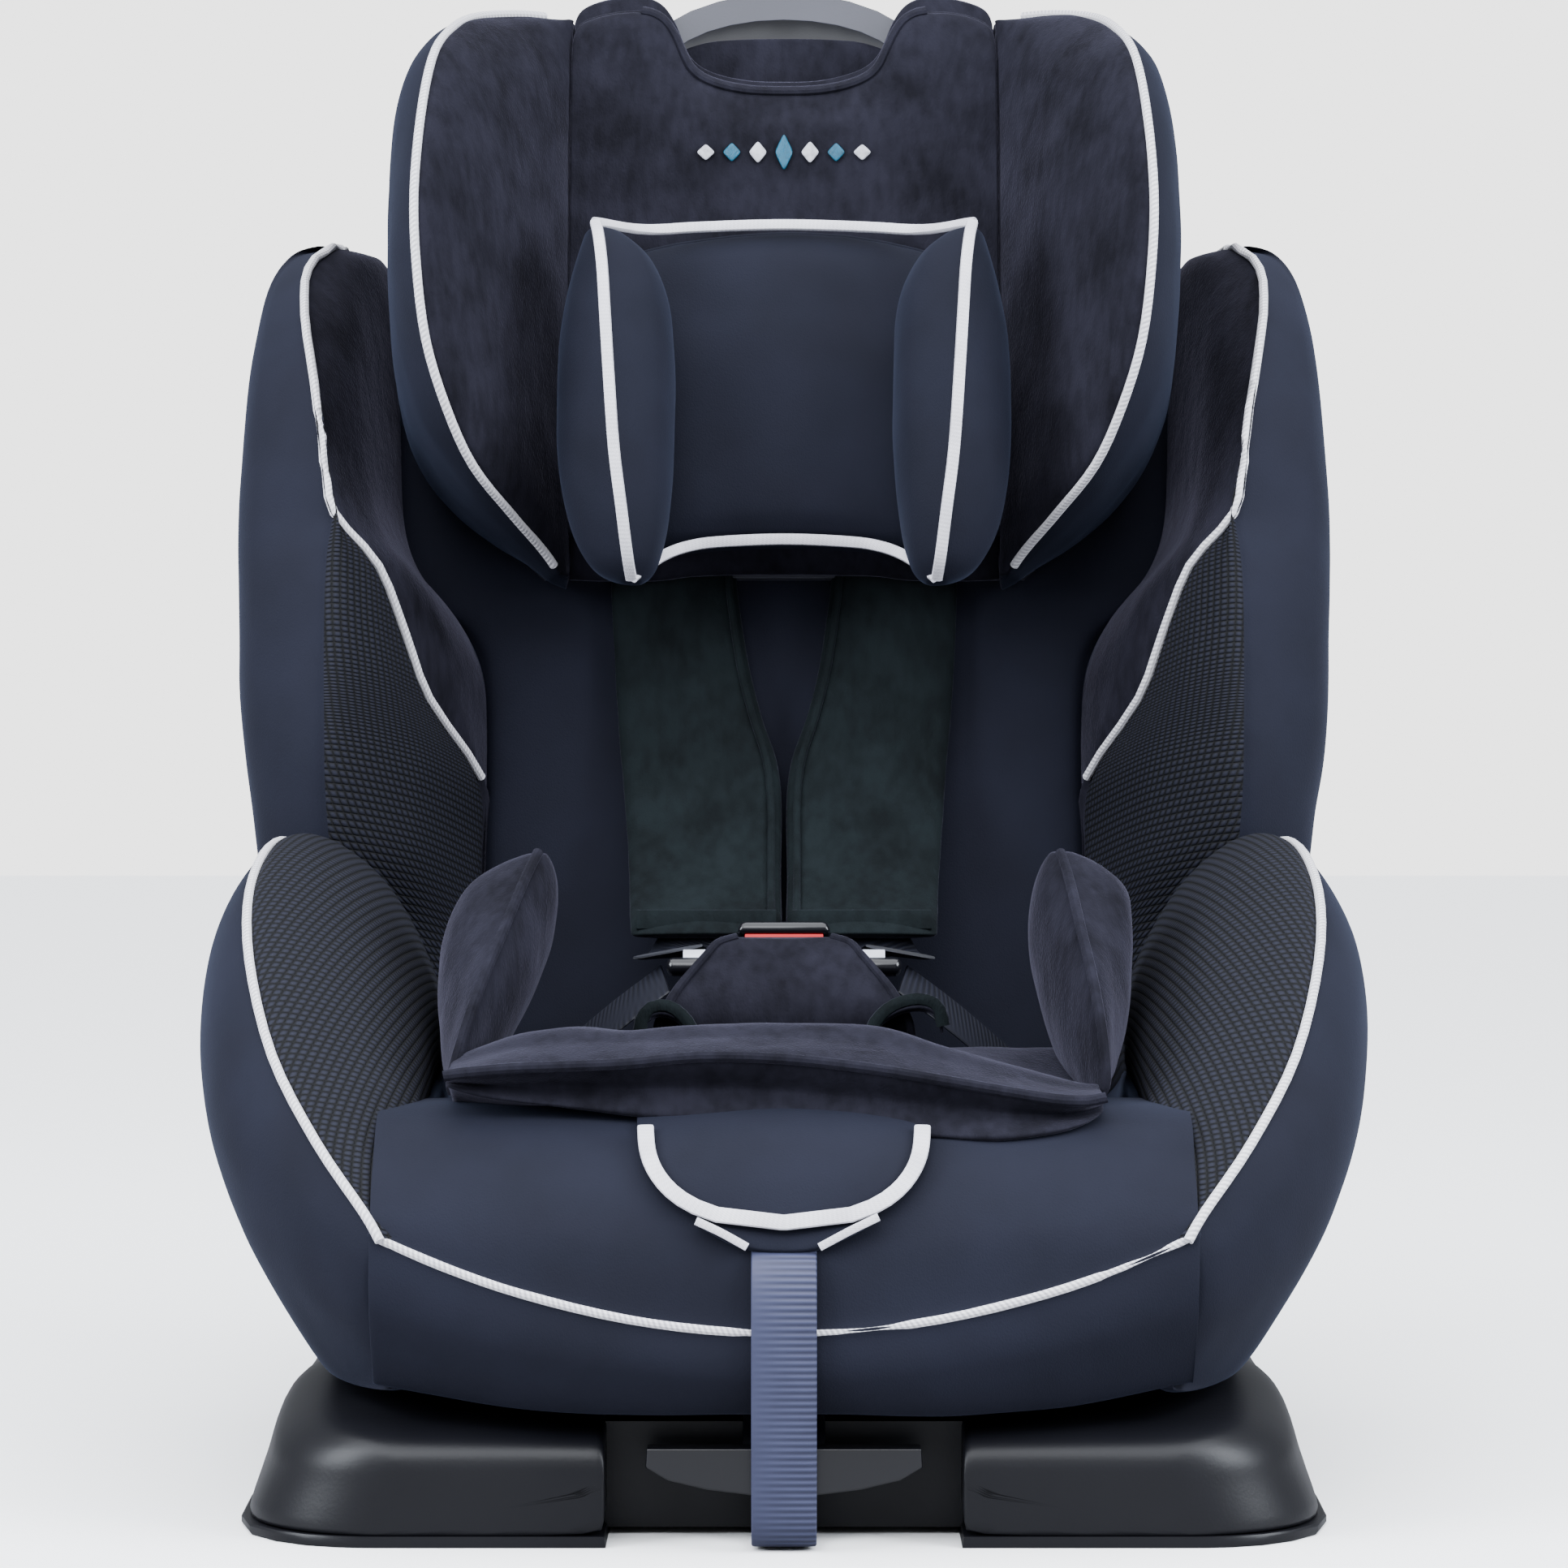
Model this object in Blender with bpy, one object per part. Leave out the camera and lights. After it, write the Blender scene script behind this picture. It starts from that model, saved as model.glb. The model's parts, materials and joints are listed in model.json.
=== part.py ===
"""Convertible child car seat: a reclining seat on a fixed base, a sliding headrest and a five-point harness.

Metres, +Z up, the seat faces -Y. The origin is on the floor, under the middle of the object.
The backrest is drawn in its own leaning frame: X across, U square to the back (rearwards), W up along it.
"""

import math

import bmesh
import bpy
from mathutils import Matrix, Vector

# ---------------------------------------------------------------- driving dimensions
GAP = 0.0004  # between pieces that touch
RUNNING = 0.0012  # between pieces that slide past each other
BASE_HALF_WIDTH = 0.2135
BASE_REAR = 0.205
BASE_CROWN = 0.048  # height of the base's top, straight below the recline centre
FOOT_INNER = 0.069  # half the gap between the two front feet
FOOT_HEIGHT = 0.040
PLATE_THICK = 0.006
SEAT_HALF_WIDTH = 0.239
CUSHION_HALF = 0.140
DECK_THICK = 0.005
DECK_FRONT = -0.200  # front of the seat shell
SHELL_WALL = 0.004
RECLINE_CENTRE = Vector((0.0, 0.0, 0.600))
RAIL_HEIGHT = 0.020
RAIL_HALF = 0.006
RAIL_X = 0.105
BACK_ANGLE = math.radians(14)
BACK_HEIGHT = 0.420  # the back shell's length along the back
BACK_FACE = -0.010  # front face of the back cushion, along U
SHELL_FACE = 0.020  # front face of the back shell, along U
SHELL_RIM = 0.057
HEAD_HALF_WIDTH = 0.1755
HEAD_FACE = -0.052  # front face of the head cushion, along U
HEAD_PLATE_THICK = 0.005
LEG_HALF = 0.022  # half the width of the headrest's leg
LEVER_TRAVEL = 0.012
PILLOW_HALF = 0.080
WEBBING = 0.038
WEBBING_THICK = 0.0016
ADJUSTER_WEBBING = 0.025
PAD_THICK = 0.008
ROD_RADIUS = 0.0030
PIVOT_W = 0.030  # height of the bolts that join the back to the seat, in the leaning frame
BOLT_RADIUS = 0.0048
BUCKLE_Y = 0.018
BUCKLE_TILT = math.radians(25)
BUCKLE_SIZE = Vector((0.060, 0.024, 0.052))

# ---------------------------------------------------------------- fitted sizes
RECLINE_RADIUS = RECLINE_CENTRE.z - BASE_CROWN
BASE_FRONT = DECK_FRONT - 0.040
DECK_ARC_FRONT = BASE_FRONT + 0.135  # where the base's arc meets the ramp behind its feet
DECK_REAR = BUCKLE_Y + 0.107
EAR_FOOT = -0.027  # front of the recline ears' feet, from the deck's rear
DECK_TOP = BASE_CROWN + RAIL_HEIGHT + 0.037  # the seat shell's top, which the cushions stand on
DECK_HALF = CUSHION_HALF + 0.038
SEAT_TOP = DECK_TOP + 0.063  # the cushion's highest line, near its front edge
BOLSTER_TOP = DECK_TOP + 0.160
BACK_FOOT = Vector((0.0, DECK_REAR - 0.025, DECK_TOP + 0.015))  # the leaning frame's origin
BACK_HALF = CUSHION_HALF - 0.007  # the back cushion, below the headrest
HEAD_CLEAR = HEAD_HALF_WIDTH + 0.003  # inside faces of the torso wings, beside the headrest
SHELL_HALF = HEAD_CLEAR + 0.355 * (SEAT_HALF_WIDTH - HEAD_CLEAR)
HEAD_PLATE = BACK_FACE - 0.006  # rear face of the headrest's plate, along U
PIVOT_U = SHELL_FACE + 0.0085
STRAP_RUN = SHELL_FACE + 0.012  # the harness behind the back shell, along U
SLOT_X = LEG_HALF + 0.006 + WEBBING / 2  # middle of each harness slot
PAD_HALF = WEBBING / 2 + 0.0145
ROD_HEIGHT = DECK_TOP - 0.026  # the recline lever's pull rod
HANGER_Y = -0.0585
BUCKLE_CENTRE = Vector((0.0, BUCKLE_Y, DECK_TOP + 0.101))
FLAP_HINGE = Vector((0.0, DECK_FRONT + 0.002, SEAT_TOP - 0.0008))

# Rows of points below are drawn for these sizes, and the three maps stretch them to the driving ones.
DRAWN_BACK = 0.420
DRAWN_FRONT = -0.200
DRAWN_DECK = 0.105
DRAWN_FOOT = 0.040
BACK_START = 0.100  # below this the back keeps its shape about its hinge
SEAT_MIDDLE = -0.050  # behind this the seat keeps its shape about the buckle


def rise(w):
    """A drawn height along the back, stretched to the back's own height."""
    if w < BACK_START:
        return w
    return BACK_START + (w - BACK_START) * (BACK_HEIGHT - BACK_START) / (DRAWN_BACK - BACK_START)


def fore(y):
    """A drawn place along the seat, stretched to the deck's own front and carried with it beyond."""
    if y > SEAT_MIDDLE:
        return y
    if y < DRAWN_FRONT:
        return y + DECK_FRONT - DRAWN_FRONT
    return SEAT_MIDDLE + (y - SEAT_MIDDLE) * (DECK_FRONT - SEAT_MIDDLE) / (DRAWN_FRONT - SEAT_MIDDLE)


def level(z):
    """A drawn height: carried with the deck above it, stretched between the feet and the deck below it."""
    if z > DRAWN_DECK:
        return z + DECK_TOP - DRAWN_DECK
    return FOOT_HEIGHT + (z - DRAWN_FOOT) * (DECK_TOP - FOOT_HEIGHT) / (DRAWN_DECK - DRAWN_FOOT)


SLOT_ROWS = (rise(0.290), rise(0.335), rise(0.380))
SLOT_USED = SLOT_ROWS[1]
HEADREST_TRAVEL = rise(0.375) - rise(0.225)
HANDLE_TOP = rise(0.5465)


# ---------------------------------------------------------------- scene and materials
def clear_scene():
    for obj in list(bpy.data.objects):
        bpy.data.objects.remove(obj, do_unlink=True)


def make_material(name, colour, roughness, metallic=0.0):
    material = bpy.data.materials.new(name)
    material.use_nodes = True
    shader = material.node_tree.nodes["Principled BSDF"]
    shader.inputs["Base Color"].default_value = (*colour, 1.0)
    shader.inputs["Roughness"].default_value = roughness
    shader.inputs["Metallic"].default_value = metallic
    return material


def make_materials():
    return {
        "plastic": make_material("black_plastic", (0.018, 0.018, 0.020), 0.45),
        "grip": make_material("grey_plastic", (0.090, 0.090, 0.100), 0.40),
        "jersey": make_material("jersey_fabric", (0.012, 0.014, 0.022), 0.90),
        "velour": make_material("velour_fabric", (0.016, 0.015, 0.018), 0.95),
        "webbing": make_material("webbing", (0.060, 0.065, 0.095), 0.75),
        "steel": make_material("steel", (0.560, 0.570, 0.580), 0.30, 1.0),
        "red": make_material("red_plastic", (0.600, 0.020, 0.030), 0.35),
    }


# ---------------------------------------------------------------- modelling helpers
def add_object(name, bm, material, frame=None):
    """A finished bmesh as a named object, in the world or in a frame (an empty)."""
    bmesh.ops.recalc_face_normals(bm, faces=bm.faces)
    mesh = bpy.data.meshes.new(name)
    bm.to_mesh(mesh)
    bm.free()
    obj = bpy.data.objects.new(name, mesh)
    bpy.context.scene.collection.objects.link(obj)
    mesh.materials.append(material)
    mesh.shade_smooth()
    mesh.set_sharp_from_angle(angle=math.radians(35))
    obj.parent = frame
    return obj


def stack_rings(rings):
    """A new bmesh of a face extruded from ring to ring and reshaped at each, with the last face."""
    bm = bmesh.new()
    face = bm.faces.new([bm.verts.new(p) for p in rings[0]])
    for number, ring in enumerate(rings[1:]):
        keep = number == 0
        done = bmesh.ops.extrude_face_region(bm, geom=[face, *face.edges], use_keep_orig=keep)
        face = next(g for g in done["geom"] if isinstance(g, bmesh.types.BMFace))
        for vert, point in zip(face.verts, ring):
            vert.co = point
    return bm, face


def loft(name, rings, material, frame=None):
    """One face extruded from ring to ring and reshaped at each."""
    bm, face = stack_rings(rings)
    return add_object(name, bm, material, frame)


def block(name, low, high, material, bevel=0.0, frame=None, segments=2):
    """A box from its two corners, with its edges rounded by a bevel."""
    low, high = Vector(low), Vector(high)
    bm = bmesh.new()
    bmesh.ops.create_cube(bm, size=1.0)
    bmesh.ops.scale(bm, vec=high - low, verts=bm.verts)
    bmesh.ops.translate(bm, vec=(low + high) / 2, verts=bm.verts)
    if bevel:
        bmesh.ops.bevel(
            bm, geom=bm.edges, offset=bevel, segments=segments, profile=0.5, affect="EDGES", material=-1
        )
    return add_object(name, bm, material, frame)


def cylinder(name, radius, start, end, material, frame=None, sides=20):
    start, end = Vector(start), Vector(end)
    bm = bmesh.new()
    bmesh.ops.create_cone(
        bm, cap_ends=True, segments=sides, radius1=radius, radius2=radius, depth=(end - start).length
    )
    turn = (end - start).to_track_quat("Z", "Y").to_matrix()
    bmesh.ops.rotate(bm, cent=(0, 0, 0), matrix=turn, verts=bm.verts)
    bmesh.ops.translate(bm, vec=(start + end) / 2, verts=bm.verts)
    return add_object(name, bm, material, frame)


def plate(name, outline, thickness, material, frame=None):
    """A flat outline of 3-D points extruded by a vector."""
    bm = bmesh.new()
    face = bm.faces.new([bm.verts.new(p) for p in outline])
    done = bmesh.ops.extrude_face_region(bm, geom=[face], use_keep_orig=True)
    moved = [g for g in done["geom"] if isinstance(g, bmesh.types.BMVert)]
    bmesh.ops.translate(bm, vec=thickness, verts=moved)
    return add_object(name, bm, material, frame)


def boolean(obj, other, operation="DIFFERENCE"):
    modifier = obj.modifiers.new("cut_" + other.name, "BOOLEAN")
    modifier.operation = operation
    modifier.object = other
    other.hide_render = True
    other.display_type = "WIRE"
    return obj


def smooth_curve(points, per_span=4):
    """A Catmull-Rom curve through the points, each a tuple of any length."""
    full = [points[0], *points, points[-1]]
    curve = []
    for i in range(1, len(full) - 2):
        a, b, c, d = full[i - 1 : i + 3]
        for step in range(per_span):
            t = step / per_span
            curve.append(
                tuple(
                    0.5 * (2 * q + (r - p) * t + (2 * p - 5 * q + 4 * r - s) * t**2
                           + (3 * q - p - 3 * r + s) * t**3)
                    for p, q, r, s in zip(a, b, c, d)
                )
            )
    return curve + [tuple(points[-1])]


def side_arc(radius, first_y, last_y, steps):
    """Points of an arc about the recline centre, in the Y-Z plane, below the centre."""
    points = []
    for i in range(steps + 1):
        y = first_y + (last_y - first_y) * i / steps
        points.append((y, RECLINE_CENTRE.z - math.sqrt(radius**2 - (y - RECLINE_CENTRE.y) ** 2)))
    return points


def strap(name, path, width, material, thickness=WEBBING_THICK, across=(1.0, 0.0, 0.0), crown=0.0):
    """Flat webbing, or a pad where crown is more than 0, along a path. Its width lies along across."""
    rings = []
    side = Vector(across).normalized() * width / 2
    for i, point in enumerate(path):
        before, after = Vector(path[max(i - 1, 0)]), Vector(path[min(i + 1, len(path) - 1)])
        out = (after - before).cross(side).normalized()
        normal = out * thickness / 2
        middle = Vector(point)
        ring = [middle - side - normal, middle - side + normal]
        if crown:
            ring += [middle + normal + out * crown - side / 2, middle + normal + out * crown + side / 2]
        ring += [middle + side + normal, middle + side - normal]
        rings.append(ring)
    return loft(name, rings, material)


def on_back(x, u, w):
    """A point of the leaning frame in world coordinates."""
    lean = Matrix.Rotation(-BACK_ANGLE, 3, "X")
    return BACK_FOOT + lean @ Vector((x, u, w))


# ---------------------------------------------------------------- base
def base_outline(inset, recess):
    """Plan of the base, counter-clockwise from the left foot's inner front corner."""
    half, front, rear = BASE_HALF_WIDTH - inset, BASE_FRONT + inset, BASE_REAR - inset
    inner = FOOT_INNER + inset
    corner = 0.055  # radius of the front corners, in plan
    turn = [math.radians(a) for a in (0, 18, 36, 54, 72, 90)]
    right = [(half - corner + corner * math.sin(a), front + corner - corner * math.cos(a)) for a in turn]
    tail = 0.030
    right += [(half - tail + tail * math.cos(a),
               rear - tail + tail * math.sin(a)) for a in turn[::2] + turn[-1:]]
    right = [(inner, recess), (inner, front), *right]
    return right + [(-x, y) for x, y in reversed(right)]


def base_profile(drop):
    """Side profile of the base: a low front edge that ramps up to the deck's arc, lowered by drop."""
    profile = [(BASE_FRONT - 0.02, 0.0), (BASE_REAR + 0.02, 0.0)]
    arc = side_arc(RECLINE_RADIUS + drop, BASE_REAR + 0.02, DECK_ARC_FRONT, 12)
    profile += arc
    profile.append((BASE_FRONT - 0.02, FOOT_HEIGHT - drop))
    return profile


def base_top(y):
    """Height of the base's top at a place along it."""
    front = BASE_FRONT - 0.02
    if y > DECK_ARC_FRONT:
        return side_arc(RECLINE_RADIUS, y, y, 1)[0][1]
    share = (y - front) / (DECK_ARC_FRONT - front)
    crest = side_arc(RECLINE_RADIUS, DECK_ARC_FRONT, DECK_ARC_FRONT, 1)[0][1]
    return FOOT_HEIGHT + share * (crest - FOOT_HEIGHT)


def base_solid(name, inset, bottom, drop, mat):
    """The flared outline of the base, kept only below the side profile."""
    recess = BASE_FRONT + 0.030
    rings = []
    for z, extra in ((bottom, 0.0), (0.014, 0.001), (0.030, 0.006), (0.060, 0.014), (0.120, 0.018)):
        rings.append([(x, y, z) for x, y in base_outline(inset + extra, recess + inset + extra)])
    solid = loft(name, rings, mat["plastic"])
    profile = [(-0.3, y, z) for y, z in base_profile(drop)]
    side = plate(name + "_profile", profile, (0.6, 0, 0), mat["plastic"])
    return boolean(solid, side, "INTERSECT")


def make_base(mat):
    outline = [(x, y, 0.0) for x, y in base_outline(0.0, BASE_FRONT + 0.030)]
    plate("base_plate", outline, (0, 0, PLATE_THICK), mat["plastic"])
    low = PLATE_THICK + GAP
    shell = base_solid("base_shell", 0.0, low, 0.0, mat)
    boolean(shell, base_solid("base_hollow", SHELL_WALL, low - 0.003, SHELL_WALL, mat))


def swept_about_centre(name, section, first_angle, last_angle, steps, material, frame=None):
    """A closed section of (x, radius) points spun about the recline axis. Angle 0 is straight down."""
    rings = []
    for i in range(steps + 1):
        angle = first_angle + (last_angle - first_angle) * i / steps
        ring = [
            (x, RECLINE_CENTRE.y + radius * math.sin(angle), RECLINE_CENTRE.z - radius * math.cos(angle))
            for x, radius in section
        ]
        rings.append(ring)
    return loft(name, rings, material, frame)


def make_runner(name, x, wide, top, mat):
    """A channel under the seat that wraps the rail's head and reaches up to the seat's deck."""
    wall, ceiling = 0.004, DECK_TOP - DECK_THICK - GAP
    neck, lip = RAIL_HALF + RUNNING, top + 0.006 + RUNNING
    rings = []
    for step in range(9):
        angle = math.radians(-9 + 18 * step / 8)
        section = [(wide + wall, None), (wide + wall, lip + 0.005), (neck, lip + 0.005), (neck, lip),
                   (wide, lip),
                   (wide, top - RUNNING)]  # None is the flat top, under the deck
        section += [(-a, radius) for a, radius in reversed(section)]
        ring = []
        for across, radius in section:
            y = (radius or top) * math.sin(angle)
            z = ceiling if radius is None else RECLINE_CENTRE.z - radius * math.cos(angle)
            ring.append((x + across, y, z))
        rings.append(ring)
    loft(name, rings, mat["plastic"])


def make_rails(mat):
    inner = RECLINE_RADIUS - GAP
    top = inner - RAIL_HEIGHT
    for side, word in ((-1, "left"), (1, "right")):
        x = side * RAIL_X
        head = RAIL_HALF + 0.003
        section = [
            (x - RAIL_HALF, inner),
            (x + RAIL_HALF, inner),
            (x + RAIL_HALF, top + 0.006),
            (x + head, top + 0.006),
            (x + head, top),
            (x - head, top),
            (x - head, top + 0.006),
            (x - RAIL_HALF, top + 0.006),
        ]
        swept_about_centre(
            f"base_rail_{word}", section, math.radians(-13), math.radians(16), 10, mat["steel"]
        )
        make_runner(f"seat_runner_{word}", x, head + RUNNING, top, mat)
    rack_top = inner - RAIL_HEIGHT * 0.4
    teeth = [(-0.012, inner), (0.012, inner), (0.012, rack_top), (-0.012, rack_top)]
    rack = swept_about_centre("recline_rack", teeth, math.radians(-11), math.radians(8), 12, mat["steel"])
    for notch in range(4):
        angle = math.radians(-6 + 4 * notch)
        middle = Vector((0, math.sin(angle), -math.cos(angle))) * (rack_top + 0.001) + RECLINE_CENTRE
        half = Vector((0.02, 0.004, 0.004))
        boolean(rack, block(f"rack_notch_{notch}", middle - half, middle + half, mat["steel"]))
    return rack_top


# ---------------------------------------------------------------- seat
def make_seat_shell(mat):
    radius = RECLINE_RADIUS - 0.012  # the shell's lower edge skims the base's arc
    profile = [(DECK_REAR, DECK_TOP), (DECK_FRONT, DECK_TOP)]
    lowest = DECK_TOP - DECK_THICK - 0.0016
    profile += [(y, min(z, lowest)) for y, z in side_arc(radius, DECK_FRONT, DECK_REAR, 10)]
    outline = [(-DECK_HALF, y, z) for y, z in profile]
    shell = plate("seat_shell", outline, (2 * DECK_HALF, 0, 0), mat["plastic"])
    wall = SHELL_WALL
    boolean(shell, block("shell_hollow", (-DECK_HALF + wall, DECK_FRONT + wall, 0.0),
                         (DECK_HALF - wall, DECK_REAR - wall, DECK_TOP - DECK_THICK), mat["plastic"]))
    slot = WEBBING / 2 + 0.003
    pass_half = ADJUSTER_WEBBING / 2 + 0.0025
    boolean(shell, block("deck_slot", (-slot, -0.016, 0.05), (slot, -0.008, 0.20), mat["plastic"]))
    mount = block("adjuster_mount", (-0.030, DECK_FRONT, DECK_TOP - 0.005),
                  (0.030, DECK_FRONT + wall, level(0.1370)), mat["plastic"])
    boolean(shell, mount, "UNION")
    boolean(shell, block("wall_slot", (-pass_half, DECK_FRONT - 0.01, level(0.0940)),
                         (pass_half, DECK_FRONT + 0.01, level(0.0985)), mat["plastic"]))
    boolean(shell, block("rear_slot", (-pass_half, DECK_REAR - 0.01, 0.0),
                         (pass_half, DECK_REAR + 0.01, level(0.0860)), mat["plastic"]))
    for side in (-1, 1):
        notch = block(f"rail_notch_{side}", (side * RAIL_X - RAIL_HALF - 0.014, DECK_REAR - 0.015, 0.0),
                      (side * RAIL_X + RAIL_HALF + 0.014, DECK_REAR + 0.015, level(0.096)), mat["plastic"])
        boolean(shell, notch)
        x = side * (CUSHION_HALF + GAP)
        corners = ((EAR_FOOT, -0.004), (-0.001, -0.004), (0.023, 0.045), (0.015, 0.061), (-0.003, 0.061),
                   (-0.017, 0.045))
        ear = [(x, DECK_REAR + y, DECK_TOP + z) for y, z in corners]
        lug = plate(f"ear_{side}", ear, (side * 0.008, 0, 0), mat["plastic"])
        boolean(shell, lug, "UNION")
    hanger = block("spring_hanger", (-0.018, HANGER_Y, ROD_HEIGHT - 0.009),
                   (0.018, HANGER_Y + wall, DECK_TOP - 0.004), mat["plastic"])
    boolean(shell, hanger, "UNION")
    boolean(shell, block("hanger_slot", (-ADJUSTER_WEBBING / 2 - 0.0015, HANGER_Y - 0.01, level(0.0880)),
                         (ADJUSTER_WEBBING / 2 + 0.0015, HANGER_Y + 0.02, level(0.0935)), mat["plastic"]))
    boolean(shell, cylinder("rod_hole", ROD_RADIUS + RUNNING, (0, HANGER_Y - 0.01, ROD_HEIGHT),
                            (0, HANGER_Y + 0.02, ROD_HEIGHT), mat["steel"]))
    hinge = on_back(0, PIVOT_U, PIVOT_W)
    for side, word in ((-1, "left"), (1, "right")):
        hole = cylinder(f"ear_hole_{word}", BOLT_RADIUS + GAP,
                        (side * (CUSHION_HALF - 0.02), hinge.y, hinge.z),
                        (side * (CUSHION_HALF + 0.03), hinge.y, hinge.z), mat["steel"])
        boolean(shell, hole)


def cut_to_deck(obj, mat):
    """Takes away whatever the seat shell's box already fills."""
    edge = DECK_HALF + GAP
    deck = block(obj.name + "_deck", (-edge, DECK_FRONT - GAP, -0.1), (edge, 0.3, DECK_TOP + GAP),
                 mat["plastic"])
    return boolean(obj, deck)


def cut_to_base(obj, mat):
    """Keeps a hanging piece clear of the base's top."""
    profile = [(-0.3, y, z) for y, z in base_profile(-0.0015)]
    return boolean(obj, plate(obj.name + "_base", profile, (0.6, 0, 0), mat["plastic"]))


def make_seat_cushion(mat):
    """The cushion between the bolsters. Its front edge rolls over and hangs down as an apron."""
    rings = []
    for x in (CUSHION_HALF * k for k in (-1, -0.79, -0.5, -0.21, 0, 0.21, 0.5, 0.79, 1)):
        share = abs(x) / CUSHION_HALF
        back = 0.018 * share**2.2
        lift = 0.009 * share**2
        drop = 0.006 * max(0.0, 1 - 1.96 * share**2)
        front = [(-0.210, 0.064), (-0.238, 0.048), (-0.249, 0.085), (-0.248, 0.112), (-0.236, 0.140),
                 (-0.212, 0.160)]
        ring = [(y + back, z + lift) for y, z in front]
        ring += [(-0.165, 0.168 - drop * 0.5), (-0.080, 0.158 - drop), (0.010, 0.146 - drop), (0.092, 0.136)]
        ring.append((0.092, 0.090))
        rings.append([(x, fore(y), level(z)) for y, z in ring])
    return cut_to_deck(loft("seat_cushion", rings, mat["jersey"]), mat)


def make_bolster(side, word, mat):
    """A side bolster that stands on the deck and hangs over its edge, drawn from front to rear."""
    inner = CUSHION_HALF + GAP
    rows = (  # y, share of the bolster's width, clearance over the base, share of its height above the deck
        (-0.236, 0.158, 0.0230, 0.044),
        (-0.224, 0.381, 0.0160, 0.188),
        (-0.195, 0.645, 0.0105, 0.381),
        (-0.150, 0.848, 0.0055, 0.631),
        (-0.100, 0.959, 0.0025, 0.844),
        (-0.040, 1.000, 0.0115, 0.981),
        (0.010, 1.000, 0.0160, 0.988),
        (0.038, 0.980, 0.0185, 0.894),
        (0.060, 0.929, 0.0220, 0.731),
        (0.085, 0.858, 0.0290, 0.406),
        (0.097, 0.817, 0.0310, 0.356),
    )
    rings = []
    for drawn_y, width_share, clearance, top_share in rows:
        y = min(fore(drawn_y), DECK_REAR + EAR_FOOT - GAP)
        low = base_top(y) + clearance
        outer = inner + width_share * (SEAT_HALF_WIDTH - inner)
        top = DECK_TOP + top_share * (BOLSTER_TOP - DECK_TOP)
        wide, tall = outer - inner, top - low
        ring = [
            (inner, low), (inner, low + tall * 0.70), (inner + wide * 0.10, top - tall * 0.12),
            (inner + wide * 0.30, top - tall * 0.02), (inner + wide * 0.52, top),
            (inner + wide * 0.76, top - tall * 0.05), (inner + wide * 0.93, top - tall * 0.22),
            (outer, low + tall * 0.55), (outer - wide * 0.10, low + tall * 0.25), (outer - wide * 0.35, low),
        ]
        rings.append([(side * x, y, z) for x, z in ring])
    return cut_to_base(cut_to_deck(loft(f"seat_bolster_{word}", rings, mat["jersey"]), mat), mat)


def make_insert(mat):
    """The reducer for small children: a pad with a curled front edge and a wing at each side."""
    half = CUSHION_HALF - 0.036

    def ring(share):
        arch = 0.008 * (1 - 0.69 * share**2)
        profile = [(-0.178, 0.1705), (-0.184, 0.180 + arch * 0.5), (-0.176, 0.189 + arch),
                   (-0.150, 0.190 + arch),
                   (-0.100, 0.180), (-0.050, 0.172), (-0.048, 0.1625), (-0.100, 0.167), (-0.150, 0.1700)]
        return [(share * half, fore(y), level(z)) for y, z in profile]

    loft("seat_insert", [ring(share) for share in (-1, -0.67, -0.34, 0, 0.34, 0.67, 1)], mat["velour"])
    for side, word in ((-1, "left"), (1, "right")):
        rows = (  # y, inside x and outside x from the bolster, lowest z, top z
            (-0.172, 0.022, 0.014, 0.176, 0.205), (-0.150, 0.030, 0.006, 0.172, 0.236),
            (-0.115, 0.034, 0.003, 0.170, 0.254), (-0.075, 0.032, 0.003, 0.168, 0.250),
            (-0.045, 0.024, 0.005, 0.166, 0.215))
        rings = []
        for drawn_y, inside, outside, drawn_low, drawn_top in rows:
            y, low, top = fore(drawn_y), level(drawn_low), level(drawn_top)
            inner, outer = CUSHION_HALF - inside, CUSHION_HALF - outside
            middle = (inner + outer) / 2
            rings.append([(side * x, y, z) for x, z in (
                (middle + 0.004, low), (outer, low + (top - low) * 0.35), (outer - 0.004,
                                                                           low + (top - low) * 0.75),
                (middle - 0.004, top), (inner + 0.002, low + (top - low) * 0.70),
                (inner, low + (top - low) * 0.35), (middle - 0.006, low))])
        loft(f"insert_wing_{word}", rings, mat["velour"])


# ---------------------------------------------------------------- backrest
def half_outline(points):
    """A right-hand outline of (x, w) points from bottom to top, with its mirror image."""
    return points + [(-x, w) for x, w in reversed(points)]


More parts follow.
